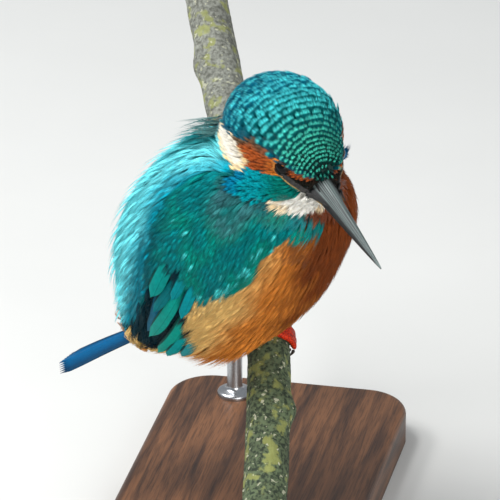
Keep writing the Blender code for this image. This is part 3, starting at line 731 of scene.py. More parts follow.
def mesh_of(name, points, faces, tags, maps, material):
    """One mesh from joined arrays; tags are per-point values, maps the OFBake places per point."""
    mesh = bpy.data.meshes.new(name)
    mesh.vertices.add(len(points))
    mesh.vertices.foreach_set("co", points.astype(np.float32).ravel())
    mesh.loops.add(faces.size)
    mesh.loops.foreach_set("vertex_index", faces.astype(np.int32).ravel())
    mesh.polygons.add(len(faces))
    mesh.polygons.foreach_set("loop_start", np.arange(0, faces.size, 3, dtype=np.int32))
    layer = mesh.uv_layers.new(name="OFBake")
    layer.data.foreach_set("uv", np.clip(maps[faces.ravel()], 0.0005, 0.9995).astype(np.float32).ravel())
    mesh.update()
    mesh.validate()
    mesh.shade_smooth()
    for tag, values in tags.items():
        paint(mesh, tag, values)
    mesh.materials.append(material)
    piece = bpy.data.objects.new(name, mesh)
    bpy.context.scene.collection.objects.link(piece)
    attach(piece, "root")
    pieces[name] = piece
    print(f"{name}: {len(faces)} triangles")
    return piece


def facing_out(faces, points):
    """A plume's triangles, wound the other way if its path has turned the plume inside out."""
    corners = (points - points.mean(axis=0))[faces]
    volume = np.einsum("ij,ij->", np.cross(corners[:, 0], corners[:, 1]), corners[:, 2])
    return faces if volume > 0 else faces[:, ::-1]


def joined(name, batches, material):
    """Joins batches of carried templates into one piece."""
    points, faces, maps, tags, first = [], [], [], {}, 0
    for batch in batches:
        template, places = batch["template"], batch["places"]
        count, each = places.shape[:2]
        points.append(places.reshape(-1, 3))
        start = first + np.arange(count)[:, None, None] * each
        faces.append((facing_out(template["faces"], places[0])[None] + start).reshape(-1, 3))
        first += count * each
        unit_place = template["points"][None, :, :2] * PATCH - np.array((0, PATCH / 2))
        maps.append((batch["map"][:, None, :] + unit_place).reshape(-1, 2))
        seeds = batch["seed"][:, None]
        values = {
            "along": np.broadcast_to(template["points"][None, :, 1], (count, each)),
            "barb": (template["barb"][None] + seeds) % 1.0,
            "tint": batch["tint"],
            "mark": batch["mark"],
        }
        for tag, value in values.items():
            value = np.asarray(value)
            flat = value.reshape(count * each, -1) if value.ndim == 3 else value.reshape(-1)
            tags.setdefault(tag, []).append(flat)
    return mesh_of(name, np.concatenate(points), np.concatenate(faces),
                   {tag: np.concatenate(parts) for tag, parts in tags.items()},
                   np.concatenate(maps), material)


def batches_of(index, templates, length, width, rise=1.0, turn=6, shoulder=0.62, thick=1.0, curl=25.0,
               tip_tone=1.0, vary=0.15, tone=0.1, mark=None, seed=1):
    """Plumes at the given roots, shared between the versions of their template."""
    draw = np.random.default_rng(seed)
    made = []
    sizes = np.broadcast_to(np.asarray(length, float), (len(index),)) * MM
    sizes = sizes * draw.uniform(1 - vary, 1 + vary, len(index))
    widths = np.broadcast_to(np.asarray(width, float), (len(index),)) * MM
    widths = widths * draw.uniform(1 - vary, 1 + vary, len(index))
    marks = np.zeros((len(index), 4)) if mark is None else mark
    which = draw.integers(0, len(templates), len(index))
    for number, template in enumerate(templates):
        here = np.flatnonzero(which == number)
        if len(here) == 0:
            continue
        rises = np.broadcast_to(np.asarray(rise, float), (len(index),))
        path = paths(index[here], sizes[here], rises[here], turn, shoulder, draw)
        places = carried(template, path, widths[here], widths[here] * thick, curl)
        shown = path[1] * 0.3 + path[2] * 0.7
        tint = markings(shown)[:, None, :] * draw.uniform(1 - tone, 1 + tone, (len(here), 1, 1))
        along = template["points"][None, :, 1:2]
        tint = tint * (1 + (tip_tone - 1) * along)
        each = len(template["points"])
        made.append({
            "template": template, "places": places, "map": root_map[index[here]],
            "seed": draw.random(len(here)), "tint": tint,
            "mark": np.broadcast_to(marks[here][:, None, :], (len(here), each, 4)),
        })
    return made


# %% [markdown]
# ## The finish of feathers
#
# One recipe of nodes serves all plumage. Its colour is the tint stored on the mesh. The barb
# number makes each barb a little lighter or darker, which draws the fine streaks of a feather. The
# root end is darker, where less light reaches. Where a plume carries a mark, a pale band crosses it
# just short of the tip. Blue feathers are glossier than orange ones, and all have a faint sheen.

# %% Feather material
def node(tree, kind, place, **values):
    made = tree.nodes.new(kind)
    made.location = place
    for name, value in values.items():
        if name.startswith("in_"):
            made.inputs[name[3:].replace("_", " ")].default_value = value
        else:
            setattr(made, name, value)
    return made


def mixed(tree, kind, factor, one, other, place):
    """A colour mix node; factor, one and other are sockets or constants."""
    made = node(tree, "ShaderNodeMix", place, data_type="RGBA", blend_type=kind, clamp_factor=True)
    for socket, value in ((made.inputs[0], factor), (made.inputs[6], one), (made.inputs[7], other)):
        if isinstance(value, bpy.types.NodeSocket):
            tree.links.new(value, socket)
        elif isinstance(value, (int, float)):
            socket.default_value = value
        else:
            socket.default_value = (*value, 1.0)
    return made.outputs[2]


def attribute(tree, name, place, output="Fac"):
    made = node(tree, "ShaderNodeAttribute", place, attribute_name=name)
    return made.outputs[output]


def stops(tree, source, place, *pairs):
    """A colour ramp over grey values: (position, value) pairs."""
    made = node(tree, "ShaderNodeValToRGB", place)
    made.color_ramp.interpolation = "EASE"
    while len(made.color_ramp.elements) < len(pairs):
        made.color_ramp.elements.new(0.5)
    for element, (position, value) in zip(made.color_ramp.elements, pairs):
        element.position = position
        element.color = (value, value, value, 1)
    tree.links.new(source, made.inputs[0])
    return made.outputs[0]


def object_noise(tree, size_mm, place, detail=3.0):
    """Noise in the object's own space, whose lumps are so many millimetres across."""
    spot = node(tree, "ShaderNodeTexCoord", (place[0] - 200, place[1]))
    made = node(tree, "ShaderNodeTexNoise", place, in_Scale=1 / (size_mm * MM), in_Detail=detail)
    tree.links.new(spot.outputs["Object"], made.inputs["Vector"])
    return made.outputs["Fac"]


def principled(name):
    made = bpy.data.materials.new(name)
    made.use_nodes = True
    return made, made.node_tree, made.node_tree.nodes["Principled BSDF"]


def bumped(tree, shader, height, distance, strength, place=(300, -300)):
    made = node(tree, "ShaderNodeBump", place, in_Strength=strength, in_Distance=distance)
    tree.links.new(height, made.inputs["Height"])
    tree.links.new(made.outputs[0], shader.inputs["Normal"])


def feather_finish(name, roughness, sheen, sheen_tint, barb_contrast, root_tone=0.4):
    made, tree, shader = principled(name)
    tint = attribute(tree, "tint", (-900, 300), "Color")
    mark = attribute(tree, "mark", (-900, 100), "Color")
    strength = attribute(tree, "mark", (-900, -50), "Alpha")
    along = attribute(tree, "along", (-900, -200))
    barb = attribute(tree, "barb", (-900, -400))
    band = stops(tree, along, (-650, -100), (0.0, 0), (0.52, 0), (0.66, 1), (0.84, 1), (0.96, 0.1))
    power = node(tree, "ShaderNodeMath", (-400, -100), operation="MULTIPLY")
    tree.links.new(band, power.inputs[0])
    tree.links.new(strength, power.inputs[1])
    some = stops(tree, barb, (-400, -300), (0.0, 0.5), (0.6, 1.0))
    uneven = mixed(tree, "MULTIPLY", 1.0, power.outputs[0], some, (-300, 0))
    marked = mixed(tree, "MIX", uneven, tint, mark, (-200, 200))
    streak = stops(tree, barb, (-650, -400), (0.0, 1 - barb_contrast), (1.0, 1 + barb_contrast))
    streaked = mixed(tree, "MULTIPLY", 1.0, marked, streak, (0, 200))
    shade = stops(tree, along, (-650, -650), (0.0, root_tone), (0.45, 1.0))
    shaded = mixed(tree, "MULTIPLY", 1.0, streaked, shade, (150, 200))
    grain = object_noise(tree, 0.5, (-400, -850))
    grained = mixed(tree, "OVERLAY", 0.25, shaded, grain, (300, 200))
    tree.links.new(grained, shader.inputs["Base Color"])
    rough = node(tree, "ShaderNodeMapRange", (100, -500), in_To_Min=roughness - 0.08,
                 in_To_Max=roughness + 0.08)
    tree.links.new(grain, rough.inputs["Value"])
    tree.links.new(rough.outputs[0], shader.inputs["Roughness"])
    shader.inputs["Sheen Weight"].default_value = sheen
    shader.inputs["Sheen Roughness"].default_value = 0.4
    shader.inputs["Sheen Tint"].default_value = (*sheen_tint, 1.0)
    shader.inputs["Specular IOR Level"].default_value = 0.12
    shader.inputs["Specular Tint"].default_value = (*sheen_tint, 1.0)
    bumped(tree, shader, object_noise(tree, 0.15, (0, -850)), 0.00004, 0.5)
    return made


BLUE_FINISH = feather_finish("blue_plumage", 0.55, 0.03, (0.3, 0.9, 1.0), 0.26)
BACK_FINISH = feather_finish("back_plumage", 0.55, 0.04, (0.3, 0.9, 1.0), 0.26, 0.66)
ORANGE_FINISH = feather_finish("orange_plumage", 0.7, 0.05, (1.0, 0.7, 0.4), 0.16, 0.6)
WHITE_FINISH = feather_finish("white_plumage", 0.75, 0.22, (1.0, 1.0, 1.0), 0.04, 0.9)
print("finishes:", [material.name for material in (BLUE_FINISH, ORANGE_FINISH, WHITE_FINISH)])

# %% [markdown]
# The skin takes the same tints, darkened as painted shade. It shows only as a dark ground between feathers,
# so it is matt.

# %% Skin material
skin_finish, tree, shader = principled("skin_and_down")
tint = attribute(tree, "tint", (-600, 200), "Color")
down = object_noise(tree, 0.8, (-600, -200))
tree.links.new(mixed(tree, "OVERLAY", 0.4, tint, down, (-200, 200)), shader.inputs["Base Color"])
shader.inputs["Roughness"].default_value = 0.85
bumped(tree, shader, down, 0.0002, 0.6)
skin.data.materials.append(skin_finish)
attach(skin, "root")
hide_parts(*FLESH)
print("skin replaces", ", ".join(FLESH))

# %% [markdown]
# ## The crown
#
# Crown feathers stand in rows, each row at one distance from the bill, and each feather has a pale
# spot just short of its tip: that is what draws the bright arcs across the head. So they aren't
# scattered. Rows are stepped back over the head from the bill, closer at the forehead, and in each
# row the feathers stand side by side. Their roots are found by casting rays out to the skin.

# %% Crown rows
ROW_FIRST, ROW_LAST = 3.0, 176.0  # degrees from the bill's line
ROW_SIDE_GAP = 1.5  # degrees short of the crown's edge
ROW_REACH_FRONT, ROW_REACH_REAR = 27 * MM, 20 * MM  # from the head's middle


def head_ray(from_bill, round_it, side):
    """The unit way out of the head's middle at those two angles."""
    bill, turn = math.radians(from_bill), math.radians(round_it)
    return HEAD_TURN @ Vector((math.cos(bill), side * math.sin(bill) * math.sin(turn),
                               math.sin(bill) * math.cos(turn)))


def skin_map_at(point, face):
    """The skin's OFBake place at a point of one of its triangles."""
    one, two, three = (Vector(skin_points[vert]) for vert in skin_triangles[face])
    whole = max((two - one).cross(three - one).length, 1e-12)
    shares = ((two - point).cross(three - point).length / whole,
              (three - point).cross(one - point).length / whole,
              (one - point).cross(two - point).length / whole)
    return sum(share * skin_map[loop] for share, loop in zip(shares, skin_loops[face]))


draw = np.random.default_rng(21)
row_roots, row_normals, row_maps, row_sizes, row_angles = [], [], [], [], []
angle, rows = ROW_FIRST, 0
while angle < ROW_LAST:
    pitch = 1.05 + 1.25 * float(ramp(angle, 8, 60)) + 0.3 * float(ramp(angle, 85, 140))
    far = 24.5 - 7.5 * float(ramp(angle, 5, 50))
    apart = 0.95 * pitch
    girth = far * math.sin(math.radians(angle))
    half_turn = float(CROWN_EDGE(angle)) - ROW_SIDE_GAP
    count = max(3, round(2 * math.radians(half_turn) * girth / apart))
    reach = ROW_REACH_FRONT if angle < 55 else ROW_REACH_REAR
    for place in range(count):
        shift = (place + 0.5 + 0.5 * (rows % 2) + draw.normal(0, 0.13)) / count
        turn = (2 * shift - 1) * half_turn
        astray = draw.normal(0, 0.08 + 0.14 * float(ramp(angle, 60, 110))) * pitch / far * 57  # degrees
        way = head_ray(angle + astray, abs(turn), math.copysign(1, turn))
        root, normal, face, _ = skin_tree.ray_cast(HEAD, way)
        if root is None or abs(turn) > half_turn or (root - HEAD).length > reach:
            continue
        row_roots.append(root)
        row_normals.append(normal)
        row_maps.append(skin_map_at(root, face))
        row_sizes.append(pitch)
        row_angles.append(angle)
    angle += math.degrees(pitch / far)
    rows += 1
print("crown:", rows, "rows,", len(row_roots), "feathers")

# The rows join the other roots, so that the same functions grow them.
first_of_rows = len(roots)
roots = np.concatenate([roots, np.array(row_roots)])
root_normals = np.concatenate([root_normals, np.array(row_normals)])
root_map = np.concatenate([root_map, np.array(row_maps)])
row_depth = coat_depth(np.array(row_roots))[:, None]
root_outside = np.concatenate([root_outside, np.array(row_roots) + np.array(row_normals) * row_depth])
crown = np.arange(first_of_rows, len(roots))
crown = crown[~bare(root_outside[crown])]
pitches = np.array(row_sizes)[crown - first_of_rows]
from_bill, round_it, _ = round_bill(root_outside[crown])

# %% Grow the crown
spot = np.zeros((len(crown), 4))
spot[:, :3] = blended(SPOT_FRONT, SPOT_BACK, ramp(from_bill, 25, 70))
lively = draw.uniform(0.75 - 0.3 * ramp(from_bill, 50, 110), 1.0)
low_fade, rear_fade = 1 - 0.75 * ramp(round_it, 66, 88), 1 - 0.4 * ramp(from_bill, 100, 140)
spot[:, 3] = lively * low_fade * rear_fade * ramp(from_bill, 4, 9)
stand = draw.uniform(0.95, 1.2, len(crown))
stand[draw.random(len(crown)) < 0.15 * ramp(from_bill, 40, 70)] = 1.5  # a few stand out at the rim
plumes = batches_of(crown, SCALE, pitches * 2.0, pitches * 1.15, rise=stand, turn=4, vary=0.06, mark=spot,
                    curl=20.0, seed=3)
joined("crown_feathers", plumes, BLUE_FINISH)

# %% [markdown]
# Rows run out of room where the forehead meets the bill. There the feathers are the smallest on the
# bird, dark green and without spots, so they are scattered like those of the face. Wherever else
# the rows leave a gap, as at the crown's edge, plain feathers fill it in.

# %% Fill in the forehead and the gaps
ROW_GAP = 1.7 * MM
FOREHEAD_END = 11  # degrees from the bill's line
index = free[(root_tract[free] == CROWN)]
near_bill, _, _ = round_bill(roots[index])
in_rows = KDTree(len(crown))
for number, root in enumerate(roots[crown]):
    in_rows.insert(Vector(root), number)
in_rows.balance()
from_rows = np.array([in_rows.find(Vector(root))[2] for root in roots[index]])
gaps = spaced(index[(near_bill >= FOREHEAD_END) & (from_rows > ROW_GAP)], 1.3, 0.8)
plumes = batches_of(gaps, SCALE, 3.4, 2.0, rise=0.9, turn=6, seed=6)
joined("crown_filling", plumes, BLUE_FINISH)
index = spaced(index[near_bill < FOREHEAD_END], 0.7, 0.45)
plumes = batches_of(index, SMALL, 1.3, 0.55, rise=0.8, turn=6, seed=4)
joined("forehead_feathers", plumes, BLUE_FINISH)

# %% [markdown]
# ## The face
#
# Lores, ear patch, neck patch, malar stripe and throat have the smallest feathers of the bird, and
# their borders are sharp. So the roots stand close, and each feather is short.

# %% Grow the face, tract by tract
FACE = (
    # name, tract, room along, room across, length, width, rise, template, finish, slot
    ("lore_feathers", LORE, 0.8, 0.45, 1.7, 0.6, 0.8, SMALL, ORANGE_FINISH, "plumage_orange"),
    ("ear_feathers", EAR, 1.5, 0.5, 3.4, 0.8, 1.0, SMALL, ORANGE_FINISH, "plumage_orange"),
    ("malar_feathers", MALAR, 1.1, 0.5, 3.4, 1.0, 1.6, SMALL, BLUE_FINISH, "plumage_blue"),
    ("neck_patch_feathers", WHITE, 1.2, 0.42, 3.8, 0.75, 1.7, SMALL, WHITE_FINISH, "plumage_white"),
    ("throat_feathers", THROAT, 1.6, 0.42, 5.2, 1.1, 1.45, LOCK, WHITE_FINISH, "plumage_white"),
)


def in_tract(*tracts):
    return free[np.isin(root_tract[free], tracts)]


for name, tract, along, across, length, width, rise, template, finish, slot in FACE:
    index = spaced(in_tract(tract), along, across)
    left = in_frame(roots[index], HEAD, HEAD_TURN)[:, 1] > 0
    from_bill, _, _ = round_bill(roots[index])
    beside = ramp(from_bill, 55, 42) if tract == MALAR else float(tract == THROAT)
    flatter = 1 - 0.55 * left * beside  # the left side is pressed down beside the bill
    plumes = batches_of(index, template, length, width, rise=rise * flatter, turn=4, shoulder=0.75,
                        tip_tone=1.12, seed=tract)
    joined(name, plumes, finish)

# %% [markdown]
# ## The body
#
# The back's stripe is silky: long parallel locks, frayed where the outline cuts them, and nearly white
# along the middle: partly its own pale azure and partly a painted highlight where the locks catch the light.
# The mantle and wing coverts are soft vanes whose barbs part into hair. The breast is fluffed, so its
# plumes stand off it, most of all under the belly. Roots have more room along the lie of the coat than
# across it, so that long runs of each plume show.

# %% Grow the back and rump
index = spaced(in_tract(STRIPE), 2.5, 0.52)
fray = np.where(np.random.default_rng(5).random(len(index)) < 0.12, 1.9, 1.05)
plumes = batches_of(index, LOCK, 13.0, 1.2, rise=fray, turn=4, tip_tone=1.15, tone=0.08, seed=31)
joined("back_feathers", plumes, BACK_FINISH)

# %% [markdown]
# Behind the head long wispy feathers, painted grey as the shade they lie in, stand clear of the back,
# and a blue tuft of the left cheek stands out beyond the crown. At the vent and under the belly hang
# pale, yellowish ones.
# These are loose locks, so each group is placed one by one.


# %% Loose wisps
def skin_at(along, angle, side):
    """A point of the skin by its place along the back and its angle round it, its normal and its map."""
    turned = math.radians(angle)
    out = BODY_TURN @ Vector((0, side * math.sin(turned), math.cos(turned)))
    far = BODY_CENTRE + BODY_TURN @ Vector((along * MM, 0, 0)) + out * (40 * MM)
    hit = skin_tree.ray_cast(far, -out)
    if hit[0] is None:
        hit = skin_tree.find_nearest(far - out * (38 * MM))
    return np.array(hit[0]), np.array(hit[1]), skin_map_at(hit[0], hit[2])


def cheek_at(from_bill, round_it, side):
    """A point of the skin by its two angles on the head, its normal and its map."""
    hit = skin_tree.ray_cast(HEAD, head_ray(from_bill, round_it, side))
    return np.array(hit[0]), np.array(hit[1]), skin_map_at(hit[0], hit[2])


def wisps(name, start, end, spread, side, count, height, tint, finish, at=skin_at, kinds=WISP,
          width=1.5):
    """Loose locks that run from round one place of the bird to round another, and stand off it."""
    draw = np.random.default_rng(count)
    rows = [[] for _ in kinds]
    for number in range(count):
        here = (start[0] + draw.normal(0, spread), start[1] + draw.normal(0, 4 * spread))
        there = (end[0] + draw.normal(0, spread), end[1] + draw.normal(0, 4 * spread))
        root, normal, place = at(*here, side)
        half, half_normal, _ = at((here[0] + there[0]) / 2, (here[1] + there[1]) / 2, side)
        tip, tip_normal, _ = at(*there, side)
        rise = height * MM * draw.uniform(0.5, 1.05)
        half, tip = half + half_normal * rise * 0.65, tip + tip_normal * rise
        rows[number % len(kinds)].append((root, half, tip, normal, tip_normal, place))
    made = []
    for template, row in zip(kinds, rows):
        *path, place = (np.array(part) for part in zip(*row))
        across = np.full(len(row), width * MM)
        each = len(template["points"])
        made.append({
            "template": template, "places": carried(template, path, across, across, 0), "map": place,
            "seed": draw.random(len(row)), "tint": np.broadcast_to(tint, (len(row), each, 3)),
            "mark": np.zeros((len(row), each, 4)),
        })
    joined(name, made, finish)


# The nape wisps are painted grey as painted shade: they lie in shadow behind the head.
wisps("nape_wisps", (27, 0), (12.5, 0), 1.6, 1, 27, 8.0, colour(84, 128, 126), BACK_FINISH)
wisps("cheek_tuft", (53, 115), (66, 111.5), 1.5, 1, 60, 4.6, colour(0, 88, 132), BLUE_FINISH,
      cheek_at, SMALL, 2.1)
wisps("vent_wisps", (-41, 101), (-49, 105), 1.0, -1, 12, 2.4, colour(206, 174, 84), ORANGE_FINISH)
wisps("belly_wisps", (-16, 141), (-24, 153), 0.9, -1, 9, 2.2, colour(214, 176, 86), ORANGE_FINISH)


# %% Grow the mantle and the breast, each side a piece
def on_side(index, side):
    local = in_frame(roots[index], BODY_CENTRE, BODY_TURN)
    return index[np.sign(local[:, 1] + 1e-9) == side]


def clear_of_quills(index):
    """Coverts rooted well ahead of the quills, so that their tips stop short and the quills show."""
    along, angle, _ = round_back(root_outside[index])
    over_quills = (angle > QUILLS_UPPER(along)) & (angle < QUILLS_LOWER(along))
    return index[~((along < QUILLS_FRONT + COVERT_CLEARANCE) & over_quills)]


COVERT_CLEARANCE = 5.5  # mm ahead of the quills
COVERT_SPOT, COVERT_SPOT_AT = colour(84, 232, 232), 5.6  # and how far from the root, mm
for side, word in ((1, "left"), (-1, "right")):
    draw = np.random.default_rng(60 + side)
    index = spaced(clear_of_quills(on_side(in_tract(MANTLE), side)), 1.5, 0.58)
    along, angle, _ = round_back(root_outside[index] + root_way[index] * (COVERT_SPOT_AT * MM))
    inside = FRINGE(along) - angle
    spot = np.zeros((len(index), 4))
    spot[:, :3] = COVERT_SPOT
    edge = ramp(inside, 1.0, 2.5) * ramp(inside, 10, 5) * ramp(along, 22, 17) * ramp(along, -28, -22)
    spot[:, 3] = np.where(draw.random(len(index)) < 0.5 * edge + 0.012 * ramp(along, 6, 0), 1.0, 0.0)
    plumes = batches_of(index, COVERT, 7.4, 1.6, rise=0.9, turn=4, tip_tone=1.05, tone=0.05, mark=spot,
                        seed=40 + side)
    joined("mantle_feathers_" + word, plumes, BACK_FINISH)
    index = spaced(on_side(in_tract(BREAST), side), 2.3, 0.46)
    along, angle, _ = round_back(root_outside[index])
    loose = np.exp(-((along + 18) / 11) ** 2 - ((angle - 146) / 18) ** 2)  # hangs down under the belly
    plumes = batches_of(index, LOCK, 10.5 * (1 + 0.3 * loose), 1.25, rise=0.95 + 1.9 * loose, turn=4,
                        tip_tone=1.1, tone=0.1, seed=50 + side)
    joined("breast_feathers_" + word, plumes, ORANGE_FINISH)

# %% [markdown]
# ## Quills of the folded wing
#
# Behind the coverts the secondaries show as flat, stiff blades, laid over each other like slats with
# dark gaps between. Each is a grid bent to a rounded blade with a raised shaft, given a thickness,
# and carried along the wing by the same paths as the plumes. Under them lies a short coat, painted
# dark as the shade in the gaps between the blades.

# %% Model one blade
BLADE_SHAFT = 0.16  # where the shaft runs, from the blade's middle
BLADE_SQUARE = 0.62  # how much of its length passes before it rounds off
BLADE_THICKNESS = 0.035


def blade():
    """A stiff feather, one unit long and about one wide. Returns its arrays."""
    bm = bmesh.new()
    bmesh.ops.create_grid(bm, x_segments=12, y_segments=24, size=0.5)
    for vert in bm.verts:
        at, along = vert.co.x * 2, 1 - (0.5 - vert.co.y) ** 1.7
        to_tip = max(0.0, (along - BLADE_SQUARE) / (1 - BLADE_SQUARE))
        half = 0.5 * (0.75 + 0.25 * float(ramp(along, 0, 0.3))) * math.sqrt(max(0.004, 1 - to_tip ** 2.2))
        across = at * half
        ridge = 0.035 * math.exp(-((across - BLADE_SHAFT) / 0.05) ** 2)
        vert.co = Vector((across, along - 0.05 * abs(at) * to_tip, ridge - 0.10 * at * at))
    bmesh.ops.solidify(bm, geom=bm.faces, thickness=-BLADE_THICKNESS)
    face_outwards(bm)
    bmesh.ops.triangulate(bm, faces=bm.faces)
    layer = bm.verts.layers.float.new("barb")
    for vert in bm.verts:
        vert[layer] = vert.co.x + 0.5
    return arrays_of(bm)


BLADE = blade()


def laid_blades(rows, side, heights):
    """Blades from rows of (start place, start angle, tip place, tip angle, width mm, lift mm)."""
    made = []
    for number, (along, angle, tip_along, tip_angle, width, lift) in enumerate(rows):
        start, normal, place = skin_at(along, angle, side)
        half, half_normal, _ = skin_at((along + tip_along) / 2, (angle + tip_angle) / 2, side)
        end, end_normal, _ = skin_at(tip_along, tip_angle, side)
        root, mid, tip = (value * MM for value in heights)
        path = [part[None] for part in (start + normal * root, half + half_normal * (mid + lift * MM * 0.8),
                                        end + end_normal * (tip + lift * MM), normal, end_normal)]
        places = carried(BLADE, path, np.array([width * MM]) * -side, np.array([width * MM]), 0)
        made.append({"places": places, "map": place[None], "number": number})
    return made


# %% Lay the wing's blades
WING_BLADES = (  # the lowest first; each next one lies over those before it
    (-23, 118, -31, 129, 3.6, 2.4), (-22.5, 111, -35.5, 123, 3.8, 2.6), (-15, 96.5, -38, 117, 4.8, 1.5),
    (-19, 72, -33.5, 90.5, 4.0, 0.1), (-10, 80.5, -33.5, 94.5, 4.6, 0.9), (-7.5, 75, -24, 79.5, 3.6, 0.6),
    (-3, 84.5, -18.5, 95, 3.6, 1.0), (-3, 75.5, -15.5, 83, 3.6, 0.9), (-4.5, 62.5, -20, 71.5, 5.4, 1.1),
)
BLADE_TONES = (colour(40, 124, 128), colour(0, 128, 128), colour(0, 132, 118), colour(0, 80, 104),
               colour(0, 130, 118), colour(0, 98, 104), colour(0, 122, 130), colour(0, 114, 120),
               colour(0, 120, 114))
BLADE_HEIGHTS = (0.2, 1.1, 1.9)  # mm over the skin at the root, the middle and the tip
BARB_WAVES, BARB_SLANT = 330, -0.35  # radians of wave along a blade, and the slant away from the shaft


def quill_finish(name):
    """Blades: close-set barbs slant from the shaft, and the inner web's edge is dark."""
    made, tree, shader = principled(name)
    tint = attribute(tree, "tint", (-1100, 300), "Color")
    along, across = attribute(tree, "along", (-1100, 0)), attribute(tree, "barb", (-1100, -200))
    slant = node(tree, "ShaderNodeMath", (-900, -200), operation="SUBTRACT")
    slant.inputs[1].default_value = 0.5 + BLADE_SHAFT
    tree.links.new(across, slant.inputs[0])
    from_shaft = node(tree, "ShaderNodeMath", (-750, -200), operation="ABSOLUTE")
    tree.links.new(slant.outputs[0], from_shaft.inputs[0])
    phase = node(tree, "ShaderNodeMath", (-600, -100), operation="MULTIPLY_ADD")
    phase.inputs[1].default_value = BARB_SLANT
    tree.links.new(from_shaft.outputs[0], phase.inputs[0])
    tree.links.new(along, phase.inputs[2])
    waves = node(tree, "ShaderNodeMath", (-450, -100), operation="MULTIPLY")
    waves.inputs[1].default_value = BARB_WAVES
    tree.links.new(phase.outputs[0], waves.inputs[0])
    barbs = node(tree, "ShaderNodeMath", (-300, -100), operation="SINE")
    tree.links.new(waves.outputs[0], barbs.inputs[0])
    edge = stops(tree, across, (-600, -500), (0.0, 0.16), (0.10, 0.2), (0.17, 1.0), (0.97, 1.0), (1.0, 0.55))
    shaded = mixed(tree, "MULTIPLY", 1.0, tint, edge, (-100, 300))
    grain = object_noise(tree, 1.2, (-300, -700))
    toned = mixed(tree, "OVERLAY", 0.3, shaded, grain, (100, 300))
    line = stops(tree, from_shaft.outputs[0], (-300, 600), (0.0, 0.45), (0.022, 1.0))
    tree.links.new(mixed(tree, "MULTIPLY", 1.0, toned, line, (200, 400)), shader.inputs["Base Color"])
    shader.inputs["Roughness"].default_value = 0.5
    shader.inputs["Specular IOR Level"].default_value = 0.12
    shader.inputs["Specular Tint"].default_value = (0.4, 0.95, 1.0, 1.0)
    bumped(tree, shader, barbs.outputs[0], 0.00006, 0.35)
    return made


QUILL_FINISH = quill_finish("quill_vanes")


def quill_piece(name, made, tones):
    """Joins laid blades into one piece, each with its own tone."""
    batches = []
    for item in made:
        each = len(BLADE["points"])
        tone = np.broadcast_to(tones[item["number"] % len(tones)], (1, each, 3))
        batches.append({"template": BLADE, "places": item["places"], "map": item["map"], "seed": np.zeros(1),
                        "tint": tone, "mark": np.zeros((1, each, 4))})
    return joined(name, batches, QUILL_FINISH)


for side, word in ((1, "left"), (-1, "right")):
    # This short coat takes the quills' tract colour, QUILL_SHADE: painted shade for the dark gaps between the
    # blades.
    index = spaced(on_side(in_tract(QUILLS), side), 1.4, 0.9)
    plumes = batches_of(index, LOCK, 4.0, 1.6, rise=0.32, seed=70 + side)
    joined("wing_shade_undercoat_" + word, plumes, BLUE_FINISH)
    quill_piece("wing_quills_" + word, laid_blades(WING_BLADES, side, BLADE_HEIGHTS), BLADE_TONES)

# %% [markdown]
# ## Tail
#
# A kingfisher's tail is short: twelve feathers, the middle pair on top, closed here into a narrow
# fan. The same blade is laid twelve times, each pair a little lower and further out than the last.

# %% Fan the tail
TAIL_ROOT = FOOT + Vector((-33, 1, 3)) * MM
TAIL_WAY = Vector((-0.87, 0.0, -0.49)).normalized()
TAIL_LENGTH, TAIL_BLADE_WIDTH = 37 * MM, 4.3 * MM
tail_up = Vector((0, 1, 0)).cross(TAIL_WAY).normalized()
made = []
for number in range(12):
    pair, side = number // 2, 1 if number % 2 else -1
    aside = side * (0.35 + 1.35 * pair)
    start = TAIL_ROOT + TAIL_WAY * (1.0 * MM) + Vector((0, 0.42 * aside * MM, 0))
    start -= tail_up * (0.22 * pair - 0.6) * MM
    tip = TAIL_ROOT + TAIL_WAY * (TAIL_LENGTH - 0.35 * pair * MM) + Vector((0, aside * MM, 0))
    tip -= tail_up * (0.2 * pair - 0.35) * MM
    half = (start + tip) / 2 + tail_up * 0.5 * MM
    path = [np.array(part)[None] for part in (start, half, tip, tail_up, tail_up)]
    places = carried(BLADE, path, np.array([TAIL_BLADE_WIDTH * -side]), np.array([TAIL_BLADE_WIDTH]), 0)
    made.append({"places": places, "map": skin_at(-44, 20 + pair * 2, side)[2][None], "number": pair})
made.reverse()
TAIL_TONES = (colour(0, 84, 132), colour(0, 80, 126), colour(0, 74, 118), colour(0, 68, 110),
              colour(4, 58, 96), colour(8, 50, 82))
tail = quill_piece("tail_feathers", made, TAIL_TONES)
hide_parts("tail")

# %% [markdown]
# ## Bill
#
# The bill is a straight dagger of horn in two halves. Each half starts as a plain tube of many
# rings. The rings are then shaped: wide and flared at the gape, tapering to the tip, with a ridge
# along the top and two shallow grooves beside it. Its finish has fine streaks that run lengthwise,
# pale on top as a painted highlight, with painted shade in the side groove; the lower half is black,
# with painted shade beneath the upper one.

# %% Shape both halves of the bill
BILL_TURN = HEAD_TURN @ pitched(-2)
BILL_PLACE = HEAD + HEAD_TURN @ Vector((BILL_ROOT * MM, 0, BILL_DROP * MM))
UPPER_DEPTH, LOWER_DEPTH, BILL_WIDTH = 5.2, 4.0, 8.8  # mm at the root
BILL_START = -2.6  # mm, hidden under the feathers
GAPE_FLARE = 0.26  # mm of extra half width for each mm back from where the flare starts
FLARE_FROM = 16.0  # mm forward of the root


